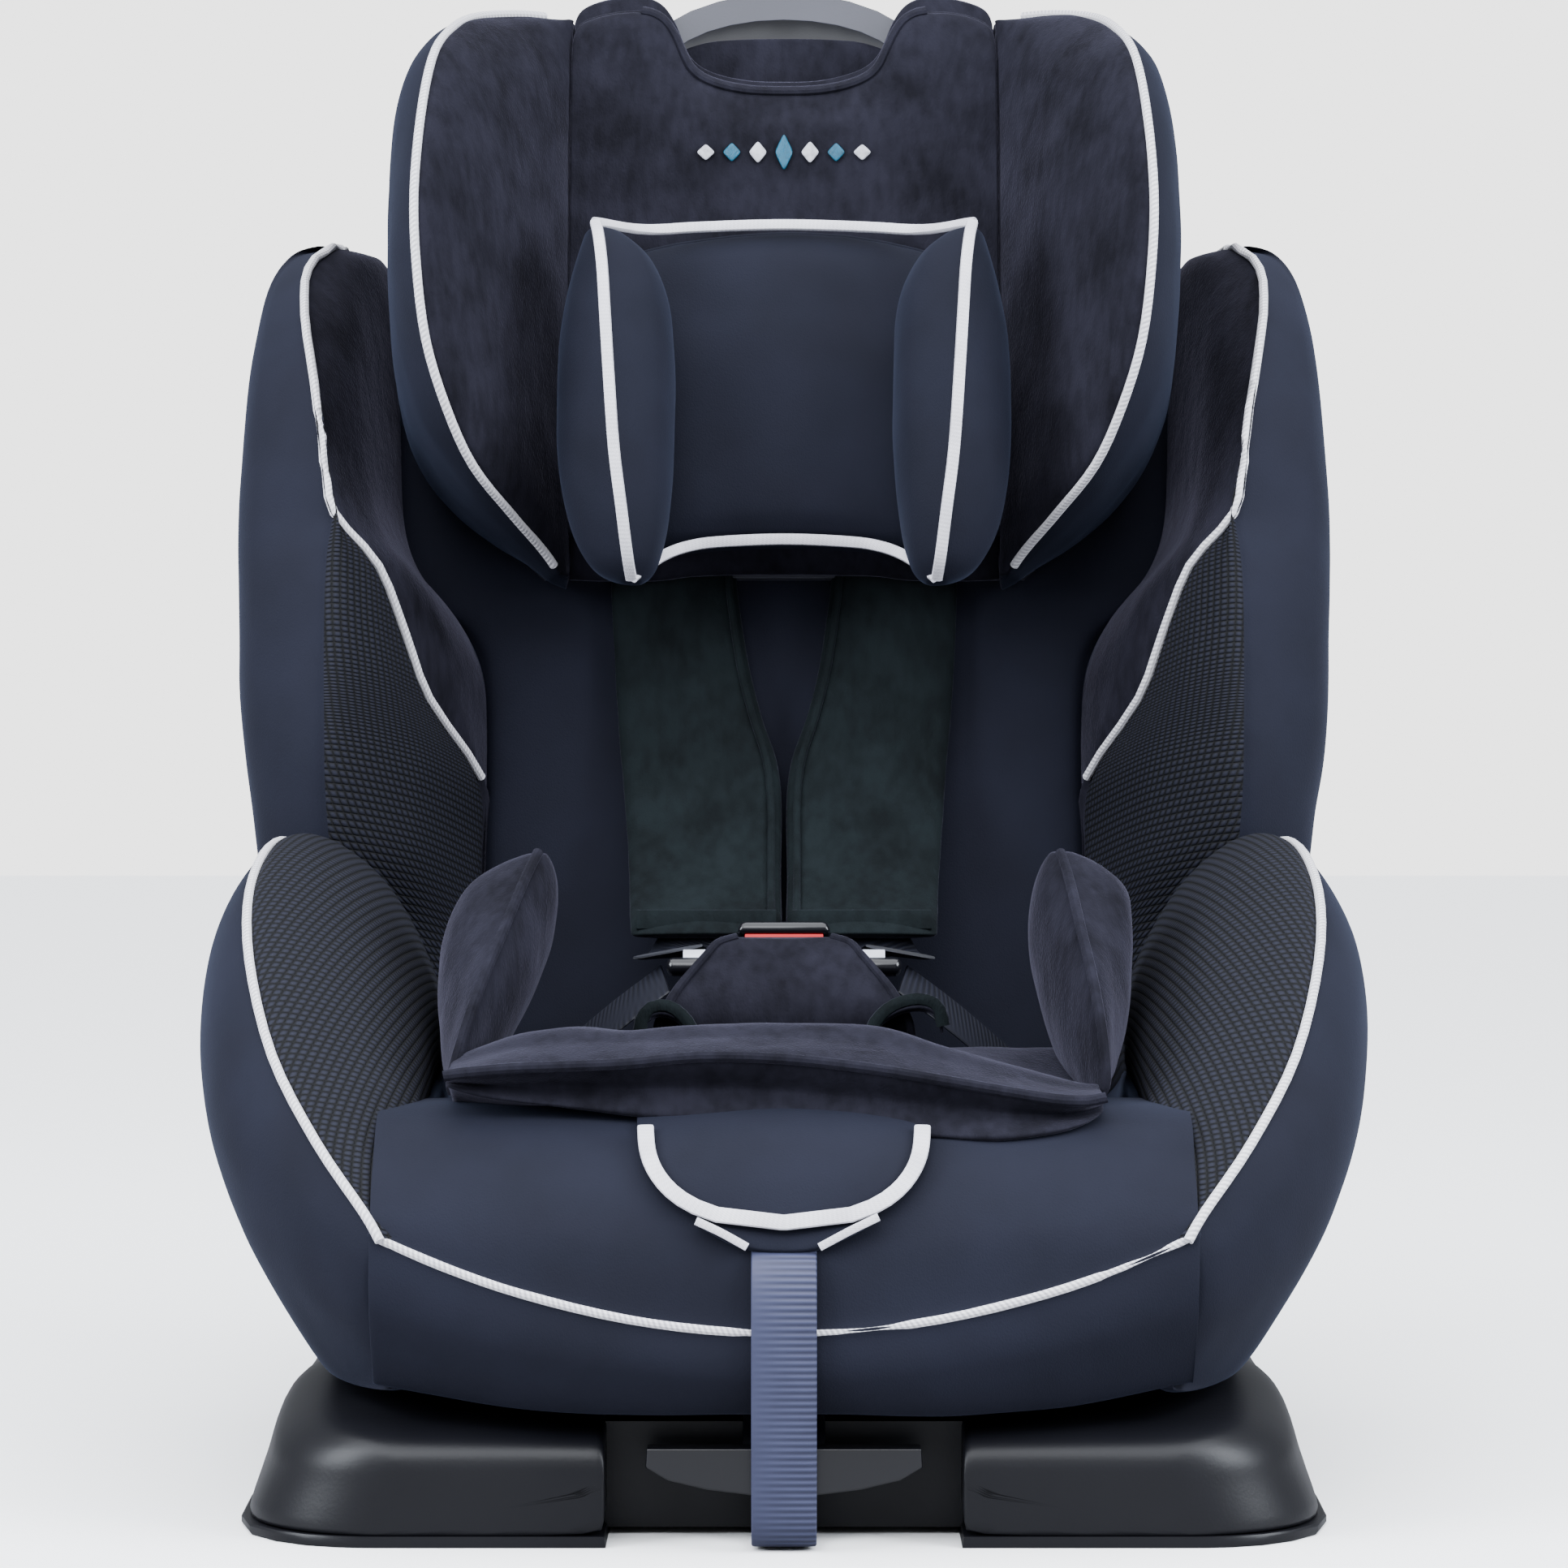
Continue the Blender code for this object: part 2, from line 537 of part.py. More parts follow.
def make_back_shell(mat, frame):
    foot, side_x = CUSHION_HALF, SHELL_HALF
    outline = half_outline([(foot, 0.006), (foot, 0.062), (side_x - 0.004, 0.082), (side_x, rise(0.200)),
                            (side_x - 0.004, rise(0.320)), (side_x - 0.022, rise(0.385)), (foot,
                                                                                           BACK_HEIGHT)])
    depth = SHELL_RIM - SHELL_FACE
    shell = plate("back_shell", [(x, SHELL_FACE, w) for x, w in outline], (0, depth, 0), mat["plastic"],
                  frame)
    inner = half_outline([(foot - 0.006, 0.012), (foot - 0.006, 0.066), (side_x - 0.010, 0.087),
                          (side_x - 0.006, rise(0.200)), (side_x - 0.010, rise(0.318)),
                          (side_x - 0.026, rise(0.379)), (foot - 0.002, BACK_HEIGHT - 0.006)])
    recess = plate("back_recess", [(x, SHELL_FACE + 0.007, w) for x, w in inner], (0, 0.03, 0),
                   mat["plastic"], frame)
    boolean(shell, recess)
    boolean(shell, block("strap_notch", (-0.016, PIVOT_U, -0.01), (0.016, 0.08, 0.020), mat["plastic"],
                         frame=frame))
    for row in SLOT_ROWS:
        for x in (-SLOT_X, SLOT_X):
            half = (WEBBING + 0.008) / 2
            boolean(shell, block(f"slot_{row}_{x}", (x - half, 0.0, row - 0.0045),
                                 (x + half, 0.05, row + 0.0045),
                                 mat["plastic"], frame=frame))
    for step in range(7):
        w = rise(0.225) + step * HEADREST_TRAVEL / 6
        boolean(shell, cylinder(f"stop_{step}", 0.005, (0, 0.01, w), (0, 0.05, w), mat["plastic"], frame, 12))
    for side, word in ((-1, "left"), (1, "right")):
        hole = cylinder(f"pivot_hole_{word}", BOLT_RADIUS + GAP, (side * (foot - 0.020), PIVOT_U, PIVOT_W),
                        (side * (foot + 0.010), PIVOT_U, PIVOT_W), mat["steel"], frame)
        lug = block(f"pivot_lug_{word}", (side * (foot - 0.006), PIVOT_U - 0.008, PIVOT_W - 0.014),
                    (side * (foot - 0.014), PIVOT_U + 0.007, PIVOT_W + 0.014), mat["plastic"], frame=frame)
        boolean(shell, lug, "UNION")
        boolean(shell, hole)


def make_back_cushion(mat, frame):
    chest, head = BACK_HALF, HEAD_CLEAR
    outline = half_outline([(chest - 0.005, 0.019), (chest, 0.080), (chest, rise(0.215)),
                            (chest + 0.003, rise(0.236)),
                            (head - 0.0065, rise(0.262)), (head - 0.0065, rise(0.360)),
                            (head - 0.0285, rise(0.405)), (head - 0.0585, rise(0.418))])
    rings = []
    for u, inset in ((SHELL_FACE - GAP, 0.0), (BACK_FACE + 0.008, 0.0), (BACK_FACE + 0.002, 0.003),
                     (BACK_FACE, 0.010)):
        middle = BACK_HEIGHT / 2
        ring = []
        for x, w in outline:
            ring.append((x - math.copysign(inset, x), u, w - math.copysign(inset, w - middle)))
        rings.append(ring)
    cushion = loft("back_cushion", rings, mat["jersey"], frame)
    boolean(cushion, block("leg_channel", (-LEG_HALF - 0.0015, SHELL_FACE - 0.017, rise(0.190)),
                           (LEG_HALF + 0.0015, 0.05, rise(0.50)), mat["jersey"], frame=frame))
    for row in SLOT_ROWS:
        for x in (-SLOT_X, SLOT_X):
            half = WEBBING / 2 + 0.0015
            boolean(cushion, block(f"cushion_slot_{row}_{x}", (x - half, -0.05, row - 0.0045),
                                   (x + half, 0.05, row + 0.0045), mat["jersey"], frame=frame))


def make_torso_wing(side, word, mat, frame):
    """A wing beside the child's chest. It wraps the shell's edge, and thickens below the headrest's wing."""
    chest, head = BACK_HALF + 0.002, HEAD_CLEAR
    rows = (  # w, inner x, share of the width beyond it, share of that where the nose is, nose u
        (0.058, chest + 0.0095, 0.757, 0.580, -0.034),
        (0.082, chest + 0.0020, 0.873, 0.596, -0.052),
        (0.103, chest, 0.923, 0.594, -0.062),
        (0.126, chest, 0.952, 0.596, -0.106),
        (0.170, chest, 1.000, 0.596, -0.120),
        (0.215, chest + 0.0010, 1.000, 0.641, -0.122),
        (0.232, chest + 0.0070, 1.000, 0.660, -0.121),
        (0.256, head, 0.967, 0.521, -0.119),
        (0.338, head + 0.0005, 0.883, 0.547, -0.104),
        (0.385, head + 0.0005, 0.717, 0.581, -0.080),
        (0.411, head + 0.0010, 0.496, 0.627, -0.048),
    )
    rings = []
    for drawn_w, inner, width_share, nose_share, deep in rows:
        w, outer = rise(drawn_w), inner + width_share * (SEAT_HALF_WIDTH - inner)
        nose = inner + nose_share * (outer - inner)
        rear, lip = SHELL_FACE - GAP, 0.040
        edge = SHELL_HALF + 0.0006
        if outer - edge < 0.006:  # the narrow rows at the ends stop short of the shell's edge
            edge = outer - 0.004
        rings.append([(side * x, u, w) for x, u in (
            (inner, rear), (edge, rear), (edge,
                                          lip), (outer - 0.006 if outer - edge > 0.008 else outer - 0.001,
                                                 lip),
            (outer, 0.005), (outer - 0.001, deep * 0.45), (outer - (outer - nose) * 0.45, deep * 0.86),
            (nose, deep), (nose - (nose - inner) * 0.42, deep * 0.86),
            (inner + (nose - inner) * 0.16, deep * 0.45), (inner, -0.004))])
    return loft(f"torso_wing_{word}", rings, mat["velour"], frame)


def make_back_bolts(mat, frame):
    for side, word in ((-1, "left"), (1, "right")):
        ear = CUSHION_HALF + GAP + 0.008  # the outside of the seat's ear
        bolt = cylinder(f"back_bolt_{word}", BOLT_RADIUS, (side * (CUSHION_HALF - 0.0125), PIVOT_U, PIVOT_W),
                        (side * (ear + 0.0036), PIVOT_U, PIVOT_W), mat["steel"], frame, 16)
        head = cylinder(f"bolt_head_{word}", BOLT_RADIUS + 0.0037, (side * (ear + GAP), PIVOT_U, PIVOT_W),
                        (side * (ear + 0.0056), PIVOT_U, PIVOT_W), mat["steel"], frame, 16)
        boolean(bolt, head, "UNION")


# ---------------------------------------------------------------- headrest
def make_headrest(mat, frame):
    front = HEAD_PLATE - HEAD_PLATE_THICK
    wide = HEAD_HALF_WIDTH - 0.0175
    outline = half_outline([(wide - 0.048, rise(0.262)), (wide - 0.008, rise(0.300)), (wide, rise(0.400)),
                            (wide - 0.008, rise(0.470)), (wide - 0.038, rise(0.505))])
    shell = plate("headrest_shell", [(x, front, w) for x, w in outline], (0, HEAD_PLATE_THICK, 0),
                  mat["plastic"],
                  frame)
    turns = [math.radians(d) for d in range(12, 91, 13)]
    outer, inner = 0.070, 0.057  # the handle's outside and inside half widths
    spring = rise(0.506)  # where its arch springs from
    arch = [(outer, rise(0.475)), (outer, spring)]
    arch += [(outer * math.cos(a), spring + (HANDLE_TOP - spring) * math.sin(a)) for a in turns]
    hoop = plate("handle_hoop", [(x, front, w) for x, w in half_outline(arch)], (0, 0.030, 0),
                 mat["plastic"], frame)
    boolean(shell, hoop, "UNION")
    window = [(inner, rise(0.480)), (inner, spring)]
    window += [(inner * math.cos(a), spring + (HANDLE_TOP - 0.0135 - spring) * math.sin(a)) for a in turns]
    hole = plate("handle_window", [(x, -0.05, w) for x, w in half_outline(window)], (0, 0.10, 0),
                 mat["plastic"],
                 frame)
    boolean(shell, hole)
    leg_rear = SHELL_FACE - 0.0015
    bridge = block("leg_bridge", (-LEG_HALF, HEAD_PLATE - 0.002, rise(0.4235)),
                   (LEG_HALF, leg_rear, rise(0.4235) + 0.040), mat["plastic"], frame=frame)
    boolean(shell, bridge, "UNION")
    pin = rise(0.225)  # height of the latch pin with the headrest down
    leg = block("leg", (-LEG_HALF, leg_rear - 0.0135, pin - 0.020), (LEG_HALF, leg_rear, rise(0.430)),
                mat["plastic"],
                frame=frame)
    boolean(shell, leg, "UNION")
    boolean(shell, block("rod_groove", (-0.0065, 0.0095, 0.15), (0.0065, 0.05, HANDLE_TOP), mat["plastic"],
                         frame=frame))
    grip = rise(0.4950)  # lower end of the release lever
    rod = block("release_rod", (-0.005, 0.0105, pin + 0.0046), (0.005, 0.0145, grip), mat["steel"], 0.0008,
                frame, 1)
    cylinder("latch_pin", 0.0042, (0, 0.0105, pin), (0, SHELL_FACE - 0.0010, pin), mat["steel"], frame, 16)
    turns = [math.radians(d) for d in range(15, 91, 15)]
    bar_tall, low_tall = rise(0.5265) - rise(0.5020), rise(0.5205) - rise(0.5000)
    bar = [(inner - 0.007, grip), (inner - 0.005, rise(0.5020))]
    bar += [((inner - 0.0045) * math.cos(a), rise(0.5020) + bar_tall * math.sin(a)) for a in turns]
    low = [((inner - 0.0085) * math.cos(a), rise(0.5000) + low_tall * math.sin(a)) for a in reversed(turns)]
    ring = [*bar, *[(-x, w) for x, w in reversed(bar)], *[(-x, w) for x, w in reversed(low)], *low]
    lever = plate("headrest_release", [(x, -0.014, w) for x, w in ring], (0, 0.018, 0), mat["grip"], frame)
    tail = block("release_tail", (-0.005, -0.004, grip + GAP), (0.005, 0.0145, rise(0.5235)), mat["grip"],
                 frame=frame)
    boolean(lever, tail, "UNION")
    rod.parent = frame


def make_head_cushion(mat, frame):
    rear, face = HEAD_PLATE - HEAD_PLATE_THICK - GAP, HEAD_FACE
    wide = PILLOW_HALF + 0.013
    dip = [(0.066, rise(0.530)), (0.056, rise(0.514)), (0.040, rise(0.497)), (0.020, rise(0.492))]
    outline = half_outline([(wide - 0.005, rise(0.268)), (wide, rise(0.300)), (wide, rise(0.520)),
                            (wide - 0.007, rise(0.530)), *dip])
    rings = []
    for u, inset in ((rear, 0.0), (rear - 0.012, 0.0), (face + 0.006, 0.001), (face, 0.006)):
        ring = []
        for x, w in outline:
            ring.append((x * (1 - inset / wide), u, w - math.copysign(inset, w - rise(0.40))))
        rings.append(ring)
    loft("head_cushion", rings, mat["velour"], frame)


def make_head_wing(side, word, mat, frame):
    panel = PILLOW_HALF + 0.0145  # inside face of the wing, beside the head cushion
    rows = (  # w, inner x, share of the width beyond it, share of that where the nose is, nose u
        (0.252, panel + 0.0015, 0.290, 0.545, -0.060),
        (0.268, panel + 0.0005, 0.586, 0.660, -0.110),
        (0.300, panel, 0.833, 0.793, -0.142),
        (0.350, panel, 0.969, 0.834, -0.156),
        (0.400, panel, 1.000, 0.833, -0.160),
        (0.445, panel, 0.981, 0.799, -0.154),
        (0.478, panel, 0.907, 0.755, -0.138),
        (0.503, panel, 0.759, 0.707, -0.108),
        (0.519, panel + 0.0005, 0.538, 0.674, -0.060),
    )
    rings = []
    rear = HEAD_PLATE - HEAD_PLATE_THICK - GAP
    for drawn_w, inner, width_share, nose_share, deep in rows:
        w, outer = rise(drawn_w), inner + width_share * (HEAD_HALF_WIDTH - inner)
        nose = inner + nose_share * (outer - inner)
        reach = deep - rear
        rings.append([(side * x, u, w) for x, u in (
            (inner, rear), (outer - 0.010, rear), (outer - 0.001, rear + reach * 0.14), (outer,
                                                                                         rear + reach * 0.50),
            (outer - (outer - nose) * 0.35, rear + reach * 0.86), (nose, deep),
            (nose - (nose - inner) * 0.22, rear + reach * 0.88), (inner + (nose - inner) * 0.30,
                                                                  rear + reach * 0.50),
            (inner + (nose - inner) * 0.05, rear + reach * 0.22))])
    loft(f"head_wing_{word}", rings, mat["velour"], frame)


def make_pillow(mat, frame):
    """The head pillow: a flat pad across the head cushion with an upright pad at each end."""
    face = HEAD_FACE - GAP
    front = face - 0.018

    def ring(x):
        arch = 0.007 * (1 - (x / PILLOW_HALF) ** 2)
        profile = [(face, 0.262 + arch), (face - 0.007, 0.255 + arch), (front + 0.004, 0.262 + arch),
                   (front, 0.285), (front, 0.375), (front + 0.004, 0.396 + arch),
                   (face - 0.007, 0.403 + arch), (face, 0.396 + arch)]
        return [(x, u, rise(w)) for u, w in profile]

    stations = (-1.0, -0.69, -0.35, 0.0, 0.35, 0.69, 1.0)
    loft("head_pillow", [ring(PILLOW_HALF * share) for share in stations], mat["jersey"], frame)
    for side, word in ((-1, "left"), (1, "right")):
        rows = (  # w, inner and outer x from the pillow's end, rear u and nose u from the head cushion
            (0.239, -0.0100, 0.0040, -0.0480, -0.066), (0.252, -0.0200, 0.0120, -0.0280, -0.078),
            (0.275, -0.0290, 0.0175, -0.0205, -0.084), (0.320, -0.0325, 0.0190, -0.0195, -0.086),
            (0.360, -0.0300, 0.0170, -0.0205, -0.080), (0.380, -0.0220, 0.0120, -0.0280, -0.070),
            (0.392, -0.0120, 0.0040, -0.0430, -0.060))
        rings = []
        for drawn_w, inside, outside, rear_deep, nose_deep in rows:
            rear, nose = HEAD_FACE + rear_deep, HEAD_FACE + nose_deep
            w, edge = rise(drawn_w), PILLOW_HALF - 0.0055
            inner, outer = PILLOW_HALF + inside, PILLOW_HALF + outside
            rings.append([(side * x, u, w) for x, u in (
                (inner + (outer - inner) * 0.3, rear), (outer - (outer - inner) * 0.3, rear),
                (outer - 0.002, rear * 0.70 + nose * 0.30), (outer, rear * 0.45 + nose * 0.55),
                (edge + (outer - edge) * 0.55, rear * 0.15 + nose * 0.85), (edge, nose),
                (edge - (edge - inner) * 0.55, rear * 0.15 + nose * 0.85), (inner, rear * 0.45 + nose * 0.55),
                (inner + 0.002, rear * 0.70 + nose * 0.30))])
        loft(f"pillow_wing_{word}", rings, mat["jersey"], frame)


def make_belt_guides(mat, frame):
    """A hook behind each head wing that holds the vehicle's shoulder belt."""
    for side, word in ((-1, "left"), (1, "right")):
        low, high, mouth, wall = rise(0.430), rise(0.492), 0.012, 0.004
        near, far = HEAD_HALF_WIDTH - 0.0635, HEAD_HALF_WIDTH - 0.0275
        behind = HEAD_PLATE + GAP
        section = [(near, behind), (far, behind), (far, behind + wall), (near + wall, behind + wall),
                   (near + wall, behind + wall + mouth), (far - wall, behind + wall + mouth),
                   (far, behind + wall + 0.003), (far + wall, behind + wall + 0.003),
                   (far + 0.003, behind + 2 * wall + mouth),
                   (near, behind + 2 * wall + mouth)]
        plate(f"belt_guide_{word}", [(side * x, u, low) for x, u in section], (0, 0, high - low), mat["red"],
              frame)


# ---------------------------------------------------------------- harness
def offset_path(path, distance):
    """The path moved square to itself in the Y-Z plane, towards the child."""
    moved = []
    for i, point in enumerate(path):
        before, after = Vector(path[max(i - 1, 0)]), Vector(path[min(i + 1, len(path) - 1)])
        along = after - before
        moved.append(Vector(point) + Vector((0.0, along.z, -along.y)).normalized() * distance)
    return moved


def make_harness(mat):
    for side, word in ((-1, "left"), (1, "right")):
        behind = [on_back(side * SLOT_X, STRAP_RUN, SLOT_USED - 0.050),
                  on_back(side * SLOT_X, STRAP_RUN, SLOT_USED - 0.012),
                  on_back(side * SLOT_X, STRAP_RUN - 0.004, SLOT_USED + 0.0005),
                  on_back(side * SLOT_X, BACK_FACE + 0.001, SLOT_USED + 0.0005)]
        meet = PAD_HALF + 0.001  # where the two pads run side by side
        down = smooth_curve([tuple(on_back(side * x, BACK_FACE - d, w)) for x, d, w in (
            (meet + 0.0130, 0.0032, SLOT_USED - 0.008), (meet + 0.0145, 0.0034, rise(0.290)),
            (meet + 0.0145, 0.0036, rise(0.255)), (meet + 0.0125, 0.0040, rise(0.215)),
            (meet + 0.0075, 0.0080, rise(0.175)), (meet + 0.0025, 0.0180, rise(0.140)),
            (meet, 0.0360, rise(0.108)), (meet, 0.0530, 0.088))], 2)
        ends = [(side * 0.0430, 0.0480, level(0.2120)), (side * 0.0510, 0.0370, level(0.2140))]
        strap(f"shoulder_strap_{word}", behind + down + ends, WEBBING, mat["webbing"])
        pad = offset_path(down, PAD_THICK / 2 + WEBBING_THICK / 2 + 2 * GAP)[4:]
        strap(f"shoulder_pad_{word}", pad, 2 * PAD_HALF, mat["velour"], PAD_THICK, crown=0.002)
        lap = smooth_curve([(side * x, y, level(z)) for x, y, z in (
            (0.0600, 0.0330, 0.2060), (0.0800, 0.0400, 0.1900), (CUSHION_HALF - 0.040, 0.0550, 0.1680),
            (CUSHION_HALF - 0.020, 0.0680, 0.1440))], 2)
        strap(f"lap_strap_{word}", lap, WEBBING - 0.008, mat["webbing"], across=(0.0, 1.0, 0.0))
    yoke_low, yoke_high = SLOT_USED - 0.100, SLOT_USED - 0.052
    yoke = [on_back(x, STRAP_RUN - 0.0015, w) for x, w in half_outline(
        [(0.014, yoke_low), (0.022, yoke_low + 0.016), (SLOT_X + 0.023, yoke_high - 0.012),
         (SLOT_X + 0.023, yoke_high)])]
    lean = on_back(0, 1, 0) - on_back(0, 0, 0)
    plate("harness_yoke", yoke, lean * 0.0030, mat["steel"])
    inner = [on_back(0, STRAP_RUN, yoke_low - 0.0006), on_back(0, STRAP_RUN, (yoke_low + 0.005) / 2),
             on_back(0, STRAP_RUN, 0.020)]
    inner += [Vector((0, fore(y), level(z))) for y, z in (
        (DECK_REAR + 0.015, 0.0905), (DECK_REAR + 0.004, 0.0815), (DECK_REAR - 0.020, 0.0815), (0.060,
                                                                                                0.0880),
        (0.000, 0.0905), (-0.060, 0.0905), (-0.150, 0.0925), (-0.190, 0.0962), (-0.210, 0.0964))]
    strap("yoke_strap", smooth_curve([tuple(p) for p in inner], 2), ADJUSTER_WEBBING, mat["webbing"])


def tilted_frame(name, origin, angle):
    empty = bpy.data.objects.new(name, None)
    bpy.context.scene.collection.objects.link(empty)
    empty.location = origin
    empty.rotation_euler = (angle, 0, 0)
    return empty


def make_buckle(mat):
    frame = tilted_frame("buckle_frame", BUCKLE_CENTRE, -BUCKLE_TILT)
    half = BUCKLE_SIZE / 2
    housing = block("buckle_housing", -half, half, mat["plastic"], 0.006, frame)
    slit = block("tongue_slit", (-0.050, -0.003, half.z - 0.030), (0.050, 0.003, half.z + 0.01),
                 mat["plastic"],
                 frame=frame)
    boolean(housing, slit)
    key = half.x - 0.013  # half the width of the button
    well = block("button_well", (-key - 0.001, -half.y - 0.010, half.z - 0.020),
                 (key + 0.001, -half.y + 0.008, half.z + 0.010), mat["plastic"], frame=frame)
    boolean(housing, well)
    block("buckle_button", (-key, -half.y - 0.0040, half.z - 0.0185), (key, -half.y + 0.0035, half.z + 0.001),
          mat["red"], 0.0012, frame, 1)
    for side, word in ((-1, "left"), (1, "right")):
        outline = [(half.x - 0.010, -0.026), (half.x + 0.003, -0.026), (half.x + 0.026, -0.022),
                   (half.x + 0.026, -0.011), (half.x + 0.003, -0.008), (half.x - 0.010, -0.008)]
        plate(f"tongue_{word}", [(side * x, -0.0012, half.z + z) for x, z in outline], (0, 0.0024, 0),
              mat["steel"], frame)
    lean = Matrix.Rotation(-BUCKLE_TILT, 3, "X")
    foot = BUCKLE_CENTRE + lean @ Vector((0, 0, -half.z))
    under = DECK_TOP - DECK_THICK
    path = [(0, -0.012, under - 0.0001), (0, -0.012, under + 0.025), (0, -0.012, under + 0.055),
            (0, foot.y - 0.0015, foot.z - 0.004)]
    strap("crotch_strap", path, WEBBING, mat["webbing"])
    anchor = WEBBING / 2 + 0.009
    block("crotch_anchor", (-anchor, -0.022, under - 0.0045), (anchor, -0.002, under - 0.0005), mat["steel"],
          0.001,
          None, 1)
    pad = smooth_curve([(0, y, level(z)) for y, z in (
        (-0.0275, 0.1600), (-0.0300, 0.178), (-0.0265, 0.196), (-0.0175, 0.2150))], 3)
    rings = []
    for i, point in enumerate(pad):
        share = i / (len(pad) - 1)
        half_wide = WEBBING / 2 + 0.028 - 0.024 * share**0.8
        lean = Vector((0, -1, 0.25)).normalized()
        middle = Vector(point)
        rings.append([middle + Vector((x, 0, 0)) + lean * d for x, d in (
            (-half_wide, -0.004), (-half_wide, 0.001), (-half_wide * 0.6, 0.005), (half_wide * 0.6, 0.005),
            (half_wide, 0.001), (half_wide, -0.004))])
    loft("crotch_pad", rings, mat["velour"])
    return frame


def make_adjuster(mat, cushion):
    """The harness adjuster in the front edge: housing, rim, button, strap and flap."""
    half, front = ADJUSTER_WEBBING / 2, DECK_FRONT  # the housing and the strap stand in front of the deck
    pocket = block("adjuster_pocket", (-half - 0.0175, front - 0.10, level(0.0895)),
                   (half + 0.0175, front - GAP, level(0.142)), mat["jersey"], 0.004)
    boolean(cushion, pocket)
    recess = block("mount_recess", (-0.0305, front - 0.01, DECK_TOP - 0.005),
                   (0.0305, front + SHELL_WALL + 0.0005, level(0.1375)),
                   mat["jersey"])
    boolean(cushion, recess)
    housing = block("adjuster_housing", (-half - 0.0095, front - 0.0300, level(0.0920)),
                    (half + 0.0095, front - GAP, level(0.1370)), mat["plastic"], 0.002, None, 1)
    boolean(housing, block("adjuster_entry", (-half - 0.0025, front - 0.0120, level(0.0940)),
                           (half + 0.0025, front + 0.01, level(0.0985)), mat["plastic"]))
    boolean(housing, block("adjuster_slit", (-half - 0.0025, front - 0.05, level(0.1155)),
                           (half + 0.0025, front - 0.0105, level(0.1200)), mat["plastic"]))
    boolean(housing, block("button_slot", (-0.0140, front - 0.05, level(0.1220)),
                           (0.0140, front - 0.0080, level(0.1400)), mat["plastic"]))
    outer = half_outline([(half + 0.0140, level(0.0915)), (half + 0.0140, level(0.1395))])
    rim = plate("adjuster_bezel", [(x, front - 0.0372, z) for x, z in outer], (0, 0.0068, 0), mat["plastic"])
    boolean(rim, block("bezel_hole", (-half - 0.0080, front - 0.05, level(0.1000)),
                       (half + 0.0080, front - 0.02, level(0.1370)), mat["plastic"]))
    button = [(-0.0130, front + y, level(z)) for y, z in (
        (-0.0130, 0.1230), (-0.0340, 0.1230), (-0.0410, 0.1265), (-0.0340, 0.1300), (-0.0130, 0.1335))]
    plate("adjuster_button", button, (0.0260, 0, 0), mat["grip"])
    free = [(0, front + y, level(z)) for y, z in (
        (-0.0115, 0.1178), (-0.0300, 0.1178), (-0.0480, 0.1165), (-0.0545, 0.1090), (-0.0552, 0.090))]
    free += [(0, BASE_FRONT + y, z) for y, z in (
        (-0.0150, 0.055), (-0.0145, 0.022), (-0.0120, 0.0075), (-0.0060, 0.0025), (0.0050, 0.0016), (0.0180,
                                                                                                     0.0060),
        (0.0250, 0.0130))]
    strap("adjuster_strap", smooth_curve(free, 2), ADJUSTER_WEBBING, mat["webbing"])
    hang = smooth_curve([(FLAP_HINGE.y + y, FLAP_HINGE.z + z) for y, z in (
        (0.0, 0.0), (-0.0170, -0.0047), (-0.0320, -0.0152), (-0.0440, -0.0302), (-0.0530, -0.0442))], 2)
    rings = []
    for i, (y, z) in enumerate(hang):
        share = i / (len(hang) - 1)
        half = 0.0575 * math.sqrt(max(1 - max(0.0, share - 0.45) ** 2 * 2.2, 0.2))
        before, after = hang[max(i - 1, 0)], hang[min(i + 1, len(hang) - 1)]
        along = Vector((0, after[0] - before[0], after[1] - before[1]))
        out = Vector((0, along.z, -along.y)).normalized() * 0.002
        middle = Vector((0, y, z))
        rings.append([middle + Vector((s * half, 0, 0)) + out * t for s,
                      t in ((-1, -1), (1, -1), (1, 1), (-1, 1))])
    loft("adjuster_flap", rings, mat["jersey"])


